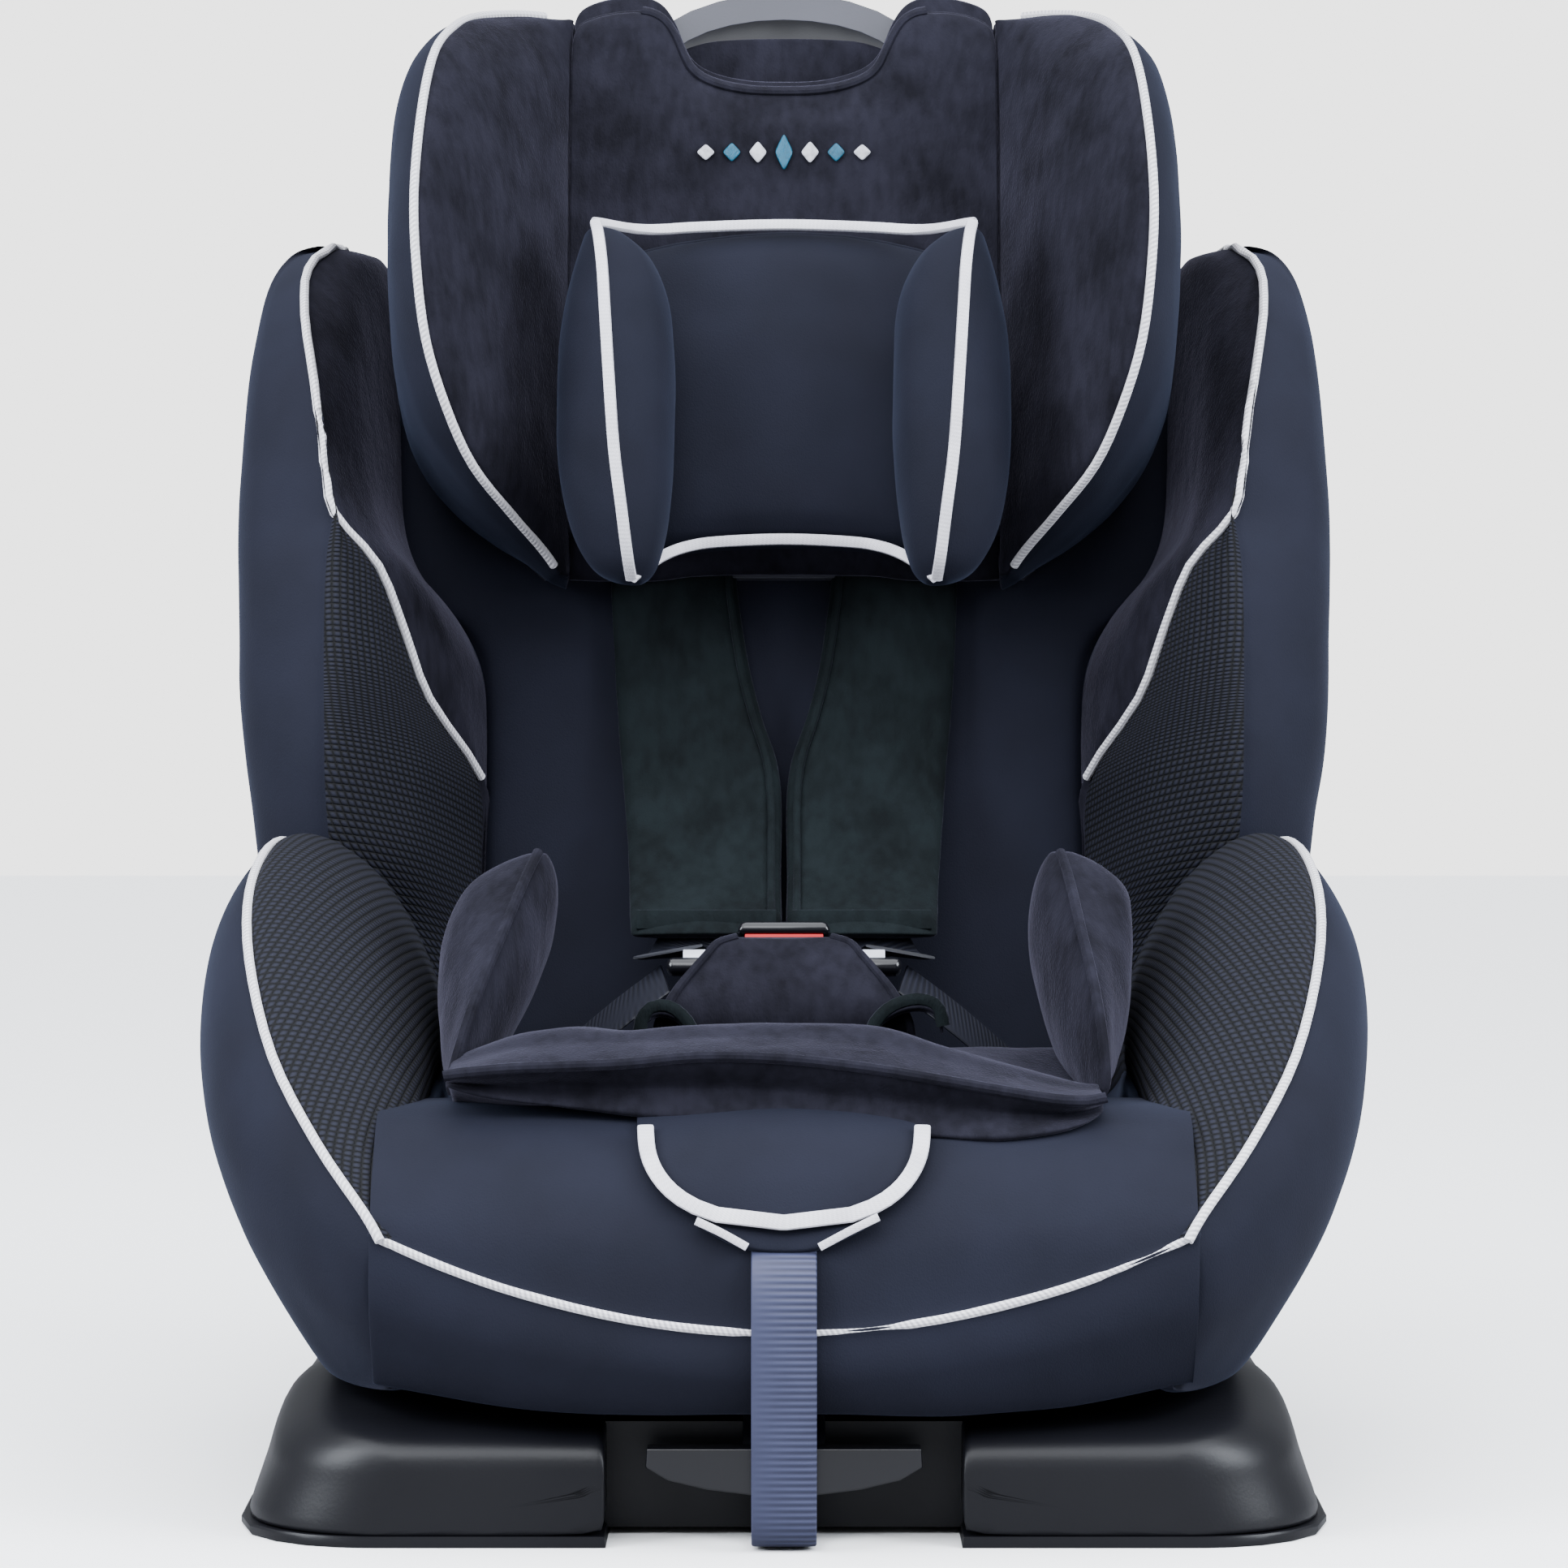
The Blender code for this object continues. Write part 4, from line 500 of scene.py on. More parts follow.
# %% Sewn pads
SPAN_STEPS = (0.0, 0.07, 0.2, 0.4, 0.6, 0.8, 0.93)  # columns of each panel, closer together at its seams
pads_made = []


def guides_of(rings):
    """The guides that run through rings of points, one for each place round the ring."""
    return [[Vector(p) for p in points] for points in zip(*rings)]


def sewn_pad(
    name, guides, panels, body, seams=(), steps=4, draw_in=0.0018, ripple=0.0007, replaced=()
):
    """A closed pad through the guides. panels gives each span its material, and seams lists the sewn guides.

    Returns, for each seam, its line of points with their normals."""
    turns = len(guides)
    curves = [spline(guide, steps) for guide in guides]
    rows = []
    for i in range(len(curves[0])):
        ring = [curve[i] for curve in curves]
        loop = ring[-1:] + ring + ring[:2]
        row = []
        for span in range(turns):
            row += [spline_point(loop, 1 + span + part) for part in SPAN_STEPS]
        rows.append(row + [row[0].copy()])
    bm, index, columns = warped_grid(rows)
    kinds = list(dict.fromkeys(m.name for m in panels))
    for face, column in columns.items():
        face.material_index = kinds.index(panels[column // len(SPAN_STEPS)].name)
    close_grid(bm)
    bm.normal_update()
    wide = turns * len(SPAN_STEPS)
    normals = {}
    for vert in bm.verts:
        if vert not in index:
            continue
        i, j = index[vert]
        normals[(i, j % wide)] = vert.normal.copy()
        place = j / len(SPAN_STEPS)
        gap = min((min(abs(place - s), turns - abs(place - s)) for s in seams), default=1.0)
        pull = draw_in * math.exp(-((gap / 0.1) ** 2))
        pucker = 0.35 * ripple * math.sin(i * 2.1 + 3 * noise.noise(vert.co * 40)) * math.exp(-gap / 0.25)
        swell = ripple * noise.noise(vert.co * 22) + 0.5 * ripple * noise.noise(vert.co * 60)
        vert.co = vert.co + vert.normal * (swell + pucker - pull)
    lines = {}
    for seam in seams:
        j = seam * len(SPAN_STEPS)
        lines[seam] = [(row[j], normals.get((i, j), Vector((0, -1, 0)))) for i, row in enumerate(rows)]
    by_name = {m.name: m for m in panels}
    obj = finish_piece(name, bm, [by_name[k] for k in kinds], body, 1, replaced)
    pads_made.append(name)
    return lines


# %% Piping and tape
def tape(
    name, line, half_wide, half_thick, material, body, lift=0.0, sides=10, square=1.0, replaced=()
):
    """Cord or flat binding along a line of (point, normal). Square under 1 flattens its faces."""
    rows = []
    count = len(line)
    for i, (point, normal) in enumerate(line):
        before, after = line[max(i - 1, 0)][0], line[min(i + 1, count - 1)][0]
        along = (after - before).normalized()
        side = along.cross(normal).normalized()
        up = side.cross(along).normalized()
        row = []
        for k in range(sides + 1):
            a = 2 * math.pi * k / sides
            rise = math.copysign(abs(math.sin(a)) ** square, math.sin(a))
            reach = math.copysign(abs(math.cos(a)) ** square, math.cos(a))
            row.append(point + up * (lift + half_thick * rise) + side * half_wide * reach)
        rows.append(row)
    bm, _, _ = warped_grid(rows)
    close_grid(bm)
    return finish_piece(name, bm, [material], body, 0, replaced)


def cord(name, line, body="seat", lift=0.0006, radius=0.002, material=satin):
    """Round piping along a line of (point, normal)."""
    return tape(name, line, radius, radius, material, body, lift)


def mirrored(side, points):
    """The points, with their x on that side."""
    return [Vector((side * p[0], p[1], p[2])) for p in points]


SIDES = ((-1, "left"), (1, "right"))
print("sewing tools ready")

# %% [markdown]
# ## The base
#
# The base is one moulding. Two broad feet flank a recessed bridge, their tops swell up in a soft shoulder,
# and a thin lip runs round the floor edge. Each foot is a loft of rounded sections, drawn from front to
# rear.

# %% Moulded lofts
FOOT_INNER, FOOT_LOW = 0.0692, 0.0045  # the inner wall and the underside of a foot
FOOT_LEAN, INNER_ROUND = 0.008, 0.004  # how far the outer wall leans in, and the inner top edge's radius


def moulded(name, rings, replaced=(), smooth=1):
    """A closed loft in the base's plastic through rings of points, with its ends filled."""
    bm, _, _ = warped_grid([[*ring, ring[0].copy()] for ring in rings])
    close_grid(bm)
    return finish_piece(name, bm, [base_plastic], "base", smooth, replaced)


def foot_ring(side, y, outer, high, outer_round, steps=6):
    """A section of a foot: flat below, a small radius on the inner top edge and a large one on the outer."""
    ring = [(x, FOOT_LOW) for x in (FOOT_INNER, 0.5 * (FOOT_INNER + outer), outer - 0.004, outer)]
    ring.append((outer - 0.1 * FOOT_LEAN, FOOT_LOW + 0.004))
    turns = [0.5 * math.pi * k / steps for k in range(steps + 1)]
    for a in turns:
        x = outer - FOOT_LEAN - outer_round * (1 - math.cos(a))
        ring.append((x, high - outer_round * 0.8 * (1 - math.sin(a))))
    for a in turns:
        ring.append((FOOT_INNER + INNER_ROUND * (1 - math.sin(a)), high - INNER_ROUND * (1 - math.cos(a))))
    ring.append((FOOT_INNER, FOOT_LOW + 0.004))
    return [Vector((side * x, y, z)) for x, z in ring]


def lip_ring(side, y, outer):
    """A section of the thin lip that runs round a foot's floor edge."""
    grow = 0.0014 if y < 0 else -0.0004
    ring = [
        (0.0686, 0.0002), (outer + 0.0006, 0.0002), (outer + 0.0014, 0.0012), (outer + 0.0014, 0.0036),
        (outer + 0.0004, 0.0044), (FOOT_INNER, 0.0044),
    ]
    return [Vector((side * x, y - grow, z)) for x, z in ring]


foot_stations = (  # y, outer x, height, shoulder radius
    (-0.2402, 0.156, 0.02, 0.008),
    (-0.24, 0.162, 0.03, 0.012),
    (-0.2385, 0.172, 0.037, 0.016),
    (-0.234, 0.184, 0.0412, 0.021),
    (-0.225, 0.196, 0.044, 0.025),
    (-0.21, 0.207, 0.0464, 0.028),
    (-0.185, 0.213, 0.0492, 0.03),
    (-0.14, 0.214, 0.0542, 0.03),
    (-0.105, 0.214, 0.0578, 0.03),
    (-0.05, 0.214, 0.0506, 0.026),
    (0.0, 0.214, 0.0483, 0.024),
    (0.05, 0.214, 0.0506, 0.026),
    (0.1, 0.214, 0.0574, 0.03),
    (0.15, 0.214, 0.0691, 0.03),
    (0.175, 0.213, 0.0764, 0.028),
    (0.193, 0.205, 0.082, 0.022),
    (0.203, 0.193, 0.08, 0.016),
    (0.2055, 0.185, 0.06, 0.01),
)
for side, word in SIDES:
    feet = [foot_ring(side, *station) for station in foot_stations]
    moulded(f"base_foot_{word}", feet, ["base_shell"] if side < 0 else ())
    lips = [lip_ring(side, y, outer) for y, outer, _, _ in foot_stations]
    moulded(f"base_lip_{word}", lips, ["base_plate"] if side < 0 else (), 0)
BRIDGE_HALF, BRIDGE_START = 0.07, 5  # half width, and the station where the bridge begins
rings = []
for y, _, high, _ in foot_stations[BRIDGE_START:]:
    top = high - 0.002
    ring = [(-BRIDGE_HALF, 0.003), (BRIDGE_HALF, 0.003), (BRIDGE_HALF, top), (0.0, top), (-BRIDGE_HALF, top)]
    rings.append([Vector((x, y, z)) for x, z in ring])
moulded("base_bridge", rings, smooth=0)
print("base made of two feet, their lips and a bridge")

# %% [markdown]
# ## Seat bolsters
#
# Each bolster is a tall foam wall beside the thigh. Its outer panel is jersey, its inner face is spacer
# mesh, and an off-white cord runs between them from the front corner up over the crest. Every station below
# gives the section's turning points: where the mesh meets the seat, where the cord runs, and the widest
# point outside.

# %% Bolster sections
bolster_stations = (  # y, mesh foot (x, z), cord (x, z), widest (x, z), hem z
    (-0.247, (0.144, 0.113), (0.1545, 0.119), (0.16, 0.095), 0.06),
    (-0.241, (0.144, 0.122), (0.161, 0.129), (0.172, 0.1), 0.0575),
    (-0.218, (0.1455, 0.143), (0.1815, 0.154), (0.196, 0.118), 0.056),
    (-0.18, (0.1435, 0.158), (0.2025, 0.185), (0.219, 0.14), 0.057),
    (-0.135, (0.142, 0.167), (0.216, 0.22), (0.234, 0.163), 0.058),
    (-0.09, (0.1416, 0.17), (0.2205, 0.246), (0.2405, 0.18), 0.059),
    (-0.04, (0.1425, 0.168), (0.2175, 0.262), (0.2415, 0.188), 0.06),
    (0.015, (0.145, 0.162), (0.212, 0.261), (0.24, 0.188), 0.062),
    (0.06, (0.144, 0.152), (0.206, 0.238), (0.235, 0.175), 0.07),
    (0.096, (0.137, 0.14), (0.198, 0.19), (0.225, 0.155), 0.082),
)


def bolster_ring(station):
    """Section points, from the mesh's foot over the crest and down the outer panel to the hem and back."""
    y, (in_x, in_z), (cord_x, cord_z), (out_x, out_z), hem = station
    wide, tall = cord_x - in_x, cord_z - in_z
    drop = out_z - hem
    ring = [
        (in_x, in_z),
        (in_x + 0.08 * wide, in_z + 0.42 * tall),
        (in_x + 0.36 * wide, in_z + 0.8 * tall),
        (in_x + 0.72 * wide, in_z + 1.01 * tall),
        (cord_x, cord_z),
        (out_x - 0.16 * (out_x - cord_x), cord_z - 0.42 * (cord_z - out_z)),
        (out_x, out_z),
        (out_x - 0.1 * drop, out_z - 0.38 * drop),
        (out_x - 0.4 * drop, hem + 0.1 * drop),
        (in_x + 0.4 * (out_x - in_x), hem),
        (in_x, hem + 0.004),
        (in_x, in_z - 0.45 * (in_z - hem)),
    ]
    slant = 0.37 * max(0.0, (-y - 0.17) / 0.08)
    return [(x, y + slant * max(0.0, cord_z - z), z) for x, z in ring]


for side, word in SIDES:
    rings = [mirrored(side, bolster_ring(station)) for station in bolster_stations]
    panels = [mesh_cloth] * 4 + [jersey] * 8
    lines = sewn_pad(
        f"bolster_{word}", guides_of(rings), panels, "seat", seams=(0, 4),
        replaced=[f"seat_bolster_{word}"],
    )
    cord(f"bolster_cord_{word}", lines[4], lift=0.0004)
print("bolsters:", pads_made)

# %% [markdown]
# ## Seat cushion
#
# The seat's middle is one long jersey panel that rolls over the front edge. A cord crosses the front below
# the roll, dipping in the middle, and under it an apron hangs down to the base.

# %% Cushion
def cushion_section(x):
    """The side profile at a distance x from the middle."""
    share = abs(x) / 0.154
    bow = 0.012 * share**2
    rise = 0.034 * share**2
    dish = 0.006 * max(0.0, 1 - (x / 0.1) ** 2)
    lift = 0.006 * max(0.0, 1 - (x / 0.075) ** 2)  # leaves room for the lever under the apron
    points = [
        (0.092, 0.136), (0.0, 0.147 - dish), (-0.09, 0.159 - dish), (-0.165, 0.167 - dish * 0.6),
        (-0.208, 0.1625), (-0.236 + bow * 0.8, 0.144 + rise * 0.1), (-0.252 + bow, 0.117 + rise * 0.45),
        (-0.2575 + bow, 0.085 + rise), (-0.257 + bow, 0.066 + rise * 0.75),
        (-0.242 + bow * 1.3, 0.0463 + rise * 0.45 + lift),
        (-0.215, 0.06 + rise * 0.2 + lift), (-0.205, 0.095), (0.0, 0.108), (0.092, 0.106),
    ]
    return [(x, y, z) for y, z in points]


half_stations = (0.02, 0.06, 0.1, 0.13, 0.156, 0.159)
stations = [-x for x in half_stations[::-1]] + list(half_stations)
rings = [cushion_section(x) for x in stations]
lines = sewn_pad(
    "seat_cover", guides_of(rings), [jersey] * len(rings[0]), "seat", seams=(7,),
    replaced=["seat_cushion"], draw_in=0.0014,
)
cord("front_cord", lines[7][4:-4])
print("seat cover spans", stations[0], "to", stations[-1])

# %% [markdown]
# ## The leaning frame
#
# The back and everything on it lean by 14 degrees, so they are drawn in a frame of their own: x across,
# u square to the back and growing rearwards, w up along it. One function turns such a point into the world's.

# %% Leaning points
BACK_ANGLE = math.radians(14)
BACK_FOOT = Vector((0.0, 0.1, 0.12))
LEAN = Matrix.Rotation(-BACK_ANGLE, 3, "X")


def on_back(x, u, w):
    """The world's point for a point of the leaning frame."""
    return BACK_FOOT + LEAN @ Vector((x, u, w))


def lean_direction(u, w):
    """The world's direction for (0, u, w) in the leaning frame."""
    return (on_back(0, u, w) - on_back(0, 0, 0)).normalized()


def guides_on_back(rings, side=1):
    """Guides from rings of (x, u, w) points."""
    return [[on_back(side * x, u, w) for x, u, w in points] for points in zip(*rings)]


# %% Torso wings
wing_stations = (  # w, nose (x, u), cord (x, u), inner corner x, widest x
    (0.042, (0.182, -0.022), (0.144, -0.006), 0.144, 0.21),
    (0.06, (0.189, -0.042), (0.14, -0.006), 0.14, 0.221),
    (0.09, (0.195, -0.066), (0.1375, -0.006), 0.1375, 0.229),
    (0.115, (0.198, -0.096), (0.1365, -0.006), 0.1365, 0.2335),
    (0.145, (0.2002, -0.108), (0.136, -0.007), 0.136, 0.2375),
    (0.169, (0.2006, -0.113), (0.138, -0.018), 0.136, 0.2415),
    (0.195, (0.2012, -0.116), (0.159, -0.063), 0.1362, 0.244),
    (0.221, (0.2015, -0.118), (0.169, -0.081), 0.138, 0.245),
    (0.247, (0.201, -0.118), (0.18, -0.098), 0.15, 0.246),
    (0.266, (0.199, -0.117), (0.1985, -0.1165), 0.166, 0.2465),
    (0.29, (0.203, -0.115), (0.203, -0.115), 0.175, 0.2465),
    (0.328, (0.2085, -0.108), (0.2085, -0.108), 0.178, 0.2445),
    (0.365, (0.215, -0.092), (0.215, -0.092), 0.179, 0.241),
    (0.395, (0.2165, -0.066), (0.2165, -0.066), 0.181, 0.236),
    (0.414, (0.208, -0.04), (0.208, -0.04), 0.185, 0.226),
    (0.421, (0.203, -0.01), (0.203, -0.01), 0.19, 0.212),
)


def wing_ring(station):
    """Section points of a torso wing, from its rear outer edge round its nose to the face and back."""
    w, (nose_x, nose_u), (cord_x, cord_u), in_x, out_x = station
    rear = 0.036
    span_x, span_u = nose_x - cord_x, nose_u - cord_u
    face_x, face_u = cord_x - in_x, cord_u + 0.004
    ring = [
        (out_x - 0.005, rear), (out_x, -0.02 + nose_u * 0.25),
        (out_x - (out_x - nose_x) * 0.22, nose_u * 0.8),
        (nose_x, nose_u), (cord_x + span_x * 0.4, cord_u + span_u * 0.66), (cord_x, cord_u),
        (in_x + face_x * 0.42, -0.004 + face_u * 0.66), (in_x, -0.004), (in_x, 0.018),
        (0.5 * (in_x + out_x), rear),
    ]
    return [(x, u, w) for x, u in ring]


WING_STEPS, CORD_START = 3, 5  # rows to each station, and the station where the cord begins
for side, word in SIDES:
    rings = [wing_ring(station) for station in wing_stations]
    panels = [jersey, jersey, jersey, mesh_cloth, mesh_cloth, velour, velour, jersey, jersey, jersey]
    lines = sewn_pad(
        f"torso_wing_cover_{word}", guides_on_back(rings, side), panels, "seat", seams=(3, 5),
        steps=WING_STEPS, replaced=[f"torso_wing_{word}"],
    )
    cord(f"torso_cord_{word}", lines[5][WING_STEPS * CORD_START:])
print("torso wings:", pads_made[-2:])

# %% Back cushion
BACK_FACE = -0.0105
back_rows = (  # w, half width
    (0.018, 0.13), (0.06, 0.136), (0.12, 0.137), (0.21, 0.137), (0.24, 0.146), (0.265, 0.176),
    (0.33, 0.178), (0.4, 0.172), (0.424, 0.15),
)
rings = []
for w, half in back_rows:
    rings.append([
        (-half, 0.018, w), (-half, -0.003, w), (-half * 0.9, BACK_FACE, w),
        (-half * 0.55, BACK_FACE - 0.001, w),
        (0.0, BACK_FACE - 0.001, w), (half * 0.55, BACK_FACE - 0.001, w), (half * 0.9, BACK_FACE, w),
        (half, -0.003, w), (half, 0.018, w), (0.0, 0.0185, w),
    ])
sewn_pad(
    "back_cover", guides_on_back(rings), [jersey] * 10, "seat", replaced=["back_cushion"],
    ripple=0.0004
)
print("back cover made")

# %% [markdown]
# ## Headrest
#
# The headrest has a velour centre panel with a U-shaped dip for the handle, and a deep wing on each side,
# velour inside and jersey outside, with a cord along the front edge.

# %% Head wings
head_stations = (  # w, cord (x, u), widest x
    (0.256, (0.101, -0.05), 0.106),
    (0.264, (0.108, -0.062), 0.117),
    (0.275, (0.122, -0.088), 0.134),
    (0.288, (0.137, -0.118), 0.15),
    (0.308, (0.1475, -0.139), 0.165),
    (0.335, (0.156, -0.152), 0.174),
    (0.368, (0.1602, -0.158), 0.1775),
    (0.4, (0.1616, -0.158), 0.1788),
    (0.438, (0.16, -0.149), 0.179),
    (0.472, (0.1568, -0.13), 0.175),
    (0.493, (0.1515, -0.108), 0.168),
    (0.51, (0.142, -0.082), 0.156),
    (0.52, (0.124, -0.06), 0.14),
    (0.524, (0.108, -0.046), 0.12),
)


def head_ring(station):
    """Section points of a head wing, from its rear outer edge round the corded front to the face and back."""
    w, (cord_x, cord_u), out_x = station
    rear, in_x, in_u = -0.022, 0.0975, -0.046
    face_x, face_u = cord_x - in_x, cord_u - in_u
    ring = [
        (out_x - 0.006, rear), (out_x, rear + 0.42 * (cord_u - rear)),
        (out_x - 0.3 * (out_x - cord_x), rear + 0.82 * (cord_u - rear)), (cord_x, cord_u),
        (in_x + 0.78 * face_x, in_u + 0.9 * face_u), (in_x + 0.42 * face_x, in_u + 0.58 * face_u),
        (in_x + 0.12 * face_x, in_u + 0.2 * face_u), (in_x, in_u + 0.004), (in_x + 0.002, rear),
    ]
    return [(x, u, w) for x, u in ring]


for side, word in SIDES:
    rings = [head_ring(station) for station in head_stations]
    panels = [jersey] * 3 + [velour] * 5 + [jersey]
    lines = sewn_pad(
        f"head_wing_cover_{word}", guides_on_back(rings, side), panels, "headrest", seams=(3, 7),
        replaced=[f"head_wing_{word}"], ripple=0.0011,
    )
    cord(f"head_cord_{word}", lines[3][2:-1], "headrest")
print("head wings:", pads_made[-2:])

# %% Head panel
dip_shape = (  # x, top edge w, from the middle of the dip outwards
    (0.0, 0.4907), (0.015, 0.4912), (0.028, 0.4935), (0.038, 0.4975), (0.044, 0.503), (0.048, 0.511),
    (0.0515, 0.519), (0.057, 0.5265), (0.066, 0.53), (0.082, 0.529), (0.095, 0.524), (0.0985, 0.515),
)
PANEL_FACE, PANEL_REAR, PANEL_LOW = -0.051, -0.0225, 0.276
PAST_DIP = 9  # rows at each end that lie beyond the dip
half_rings = []
for x, top in dip_shape:
    half_rings.append([
        (x, PANEL_REAR, PANEL_LOW), (x, PANEL_FACE + 0.008, PANEL_LOW - 0.001),
        (x, PANEL_FACE, PANEL_LOW + 0.012),
        (x, PANEL_FACE - 0.001, PANEL_LOW + 0.1), (x, PANEL_FACE - 0.001, PANEL_LOW + 0.18),
        (x, PANEL_FACE + 0.001, top - 0.016), (x, PANEL_FACE + 0.007, top - 0.002),
        (x, PANEL_REAR - 0.006, top), (x, PANEL_REAR, top - 0.006),
    ])
rings = [[(-x, u, w) for x, u, w in ring] for ring in half_rings[:0:-1]] + half_rings
lines = sewn_pad(
    "head_panel", guides_on_back(rings), [velour] * 9, "headrest", seams=(6,),
    replaced=["head_cushion"], ripple=0.0006, steps=3,
)
tape("dip_binding", lines[6][PAST_DIP:-PAST_DIP], 0.0042, 0.0022, velour, "headrest", 0.0004)
lining_rows = (  # w, half width
    (0.48, 0.058), (0.49, 0.06), (0.504, 0.058), (0.513, 0.054), (0.52, 0.045), (0.524, 0.03)
)
rings = []
for w, half in lining_rows:
    rings.append([
        (-half, -0.018, w), (-half * 0.6, -0.0205, w), (0.0, -0.0212, w), (half * 0.6, -0.0205, w),
        (half, -0.018, w), (0.0, -0.0165, w),
    ])
sewn_pad(
    "dip_lining", guides_on_back(rings), [velour] * 6, "headrest", steps=2, ripple=0.0003
)
print("head panel made")

# %% [markdown]
# ## Head pillow
#
# The pillow is a flat jersey pad with an upright pad at each end. All its front edges are bound in white
# tape, which is folded over the seam, so the binding is flat and wider than the cords.

# %% Binding tape
def make_binding():
    """White folded tape in a fine twill."""
    material, shader = plain_material("binding_tape", (0.7, 0.69, 0.72), 0.5)
    tree = material.node_tree
    twill = use_group(tree, weave, {"Across": 0.0009, "Along": 0.0009, "Slant": 0.9})
    soil = use_group(tree, grain, {"Fine": 700.0, "Coarse": 70.0, "Stretch": 1.0})
    lines = maths(tree, "MULTIPLY", twill.outputs["Height"], 0.3)
    shade = maths(tree, "MULTIPLY_ADD", soil.outputs["Cloud"], 0.7, lines)
    tree.links.new(
        tone(tree, shade, (0.4, 0.39, 0.43), (0.6, 0.59, 0.63), 0.2, 0.8), shader.inputs["Base Color"]
    )
    bump(tree, shader, twill.outputs["Height"], 0.35, 0.0003)
    return material


binding = make_binding()

# %% Pillow panel
PILLOW_HALF, PILLOW_SPANS = 0.08, 6


def pillow_ring(x):
    """Section points of the pillow at x, up its face and down its back."""
    share = abs(x) / PILLOW_HALF
    top, low = 0.414 - 0.014 * share**2, 0.2672 - 0.0085 * share**2
    face = -0.066 - 0.005 * (1 - share**2)
    ring = [
        (-0.053, low + 0.006), (-0.056, low + 0.001), (-0.064, low), (face - 0.003, low + 0.012),
        (face - 0.0065, low + 0.04), (face - 0.008, 0.45 * low + 0.55 * top), (face - 0.0055, top - 0.04),
        (face - 0.001, top - 0.014), (-0.062, top), (-0.056, top - 0.001), (-0.053, top - 0.006),
        (-0.053, 0.5 * (low + top)),
    ]
    return [(x, u, w) for u, w in ring]


rings = [pillow_ring(PILLOW_HALF * k / PILLOW_SPANS) for k in range(-PILLOW_SPANS, PILLOW_SPANS + 1)]
sewn_pad(
    "pillow_panel", guides_on_back(rings), [jersey] * 12, "headrest", seams=(2, 8), steps=3,
    replaced=["head_pillow"],
)
print("pillow panel made")

# %% Pillow ends
pillow_stations = (  # w, edge x, edge u, inner x, outer x, rear u
    (0.238, 0.067, -0.112, 0.063, 0.0715, -0.098),
    (0.246, 0.0685, -0.123, 0.057, 0.085, -0.082),
    (0.265, 0.071, -0.132, 0.0522, 0.095, -0.072),
    (0.29, 0.0742, -0.137, 0.05, 0.1, -0.07),
    (0.325, 0.0768, -0.138, 0.0492, 0.1012, -0.07),
    (0.355, 0.0788, -0.135, 0.0502, 0.1, -0.071),
    (0.375, 0.0802, -0.131, 0.0535, 0.0968, -0.074),
    (0.39, 0.082, -0.126, 0.061, 0.0928, -0.081),
    (0.399, 0.0838, -0.118, 0.072, 0.0895, -0.093),
)


def pillow_end_ring(station):
    """Section points of a pillow end, from its rear inner side over the bound edge to the outside."""
    w, edge_x, edge_u, in_x, out_x, rear = station
    inside, outside, deep = edge_x - in_x, out_x - edge_x, edge_u - rear
    ring = [
        (in_x + 0.5 * inside, rear), (in_x + 0.03 * inside, rear + 0.22 * deep), (in_x, rear + 0.48 * deep),
        (in_x + 0.22 * inside, rear + 0.76 * deep), (in_x + 0.72 * inside, rear + 0.95 * deep),
        (edge_x, edge_u),
        (edge_x + 0.34 * outside, rear + 0.91 * deep), (edge_x + 0.82 * outside, rear + 0.66 * deep),
        (out_x, rear + 0.36 * deep), (out_x - 0.3 * outside, rear + 0.04 * deep),
    ]
    return [(x, u, w) for x, u in ring]


for side, word in SIDES:
    rings = [pillow_end_ring(station) for station in pillow_stations]
    lines = sewn_pad(
        f"pillow_end_{word}", guides_on_back(rings, side), [jersey] * 10, "headrest", seams=(5,),
        replaced=[f"pillow_wing_{word}"], ripple=0.0008,
    )
    tape(
        f"pillow_end_binding_{word}", lines[5], 0.0026, 0.0015, binding, "headrest", 0.001,
        square=0.6
    )
pillow_edges = (  # name, rise of its normal, points (x, u, w) from one end to the middle
    ("upper", 0.15, (
        (0.0842, -0.119, 0.3995), (0.08, -0.113, 0.401), (0.074, -0.102, 0.4035),
        (0.066, -0.088, 0.407), (0.056, -0.077, 0.4105), (0.038, -0.0715, 0.4135), (0.0, -0.0705, 0.415))),
    ("lower", -0.15, (
        (0.0668, -0.114, 0.2372), (0.064, -0.106, 0.242), (0.059, -0.095, 0.249),
        (0.052, -0.082, 0.257), (0.043, -0.074, 0.2625), (0.03, -0.0705, 0.2655), (0.0, -0.0705, 0.2668))),
)
for name, rise, edge in pillow_edges:
    points = mirrored(1, edge) + mirrored(-1, edge[-2::-1])
    out = lean_direction(-1, rise)
    line = [(on_back(*p), out) for p in even_path(points, 0.004)]
    tape(f"pillow_binding_{name}", line, 0.0026, 0.0014, binding, "headrest", square=0.6)
print("pillow ends:", pads_made[-2:])

# %% [markdown]
# ## Harness webbing
#
# A strap is a thin flat ribbon with rounded selvedges. Each path is given as points down its middle, and the
# ribbon's width lies across. The free end is measured along its path, since cloth can't stretch.

# %% Straps
def belt(name, points, wide, across, replaced, cloth):
    """Webbing of a set width along a smooth path through the points."""
    path = even_path(points, 0.006)
    side = Vector(across).normalized()
    line = []
    for i, point in enumerate(path):
        along = path[min(i + 1, len(path) - 1)] - path[max(i - 1, 0)]
        line.append((point, along.cross(side).normalized()))
    obj = tape(
        name, line, wide / 2, THICK / 2, cloth, "seat", sides=16, square=0.4, replaced=replaced
    )
    reach = sum((b - a).length for a, b in zip(path, path[1:]))
    return reach


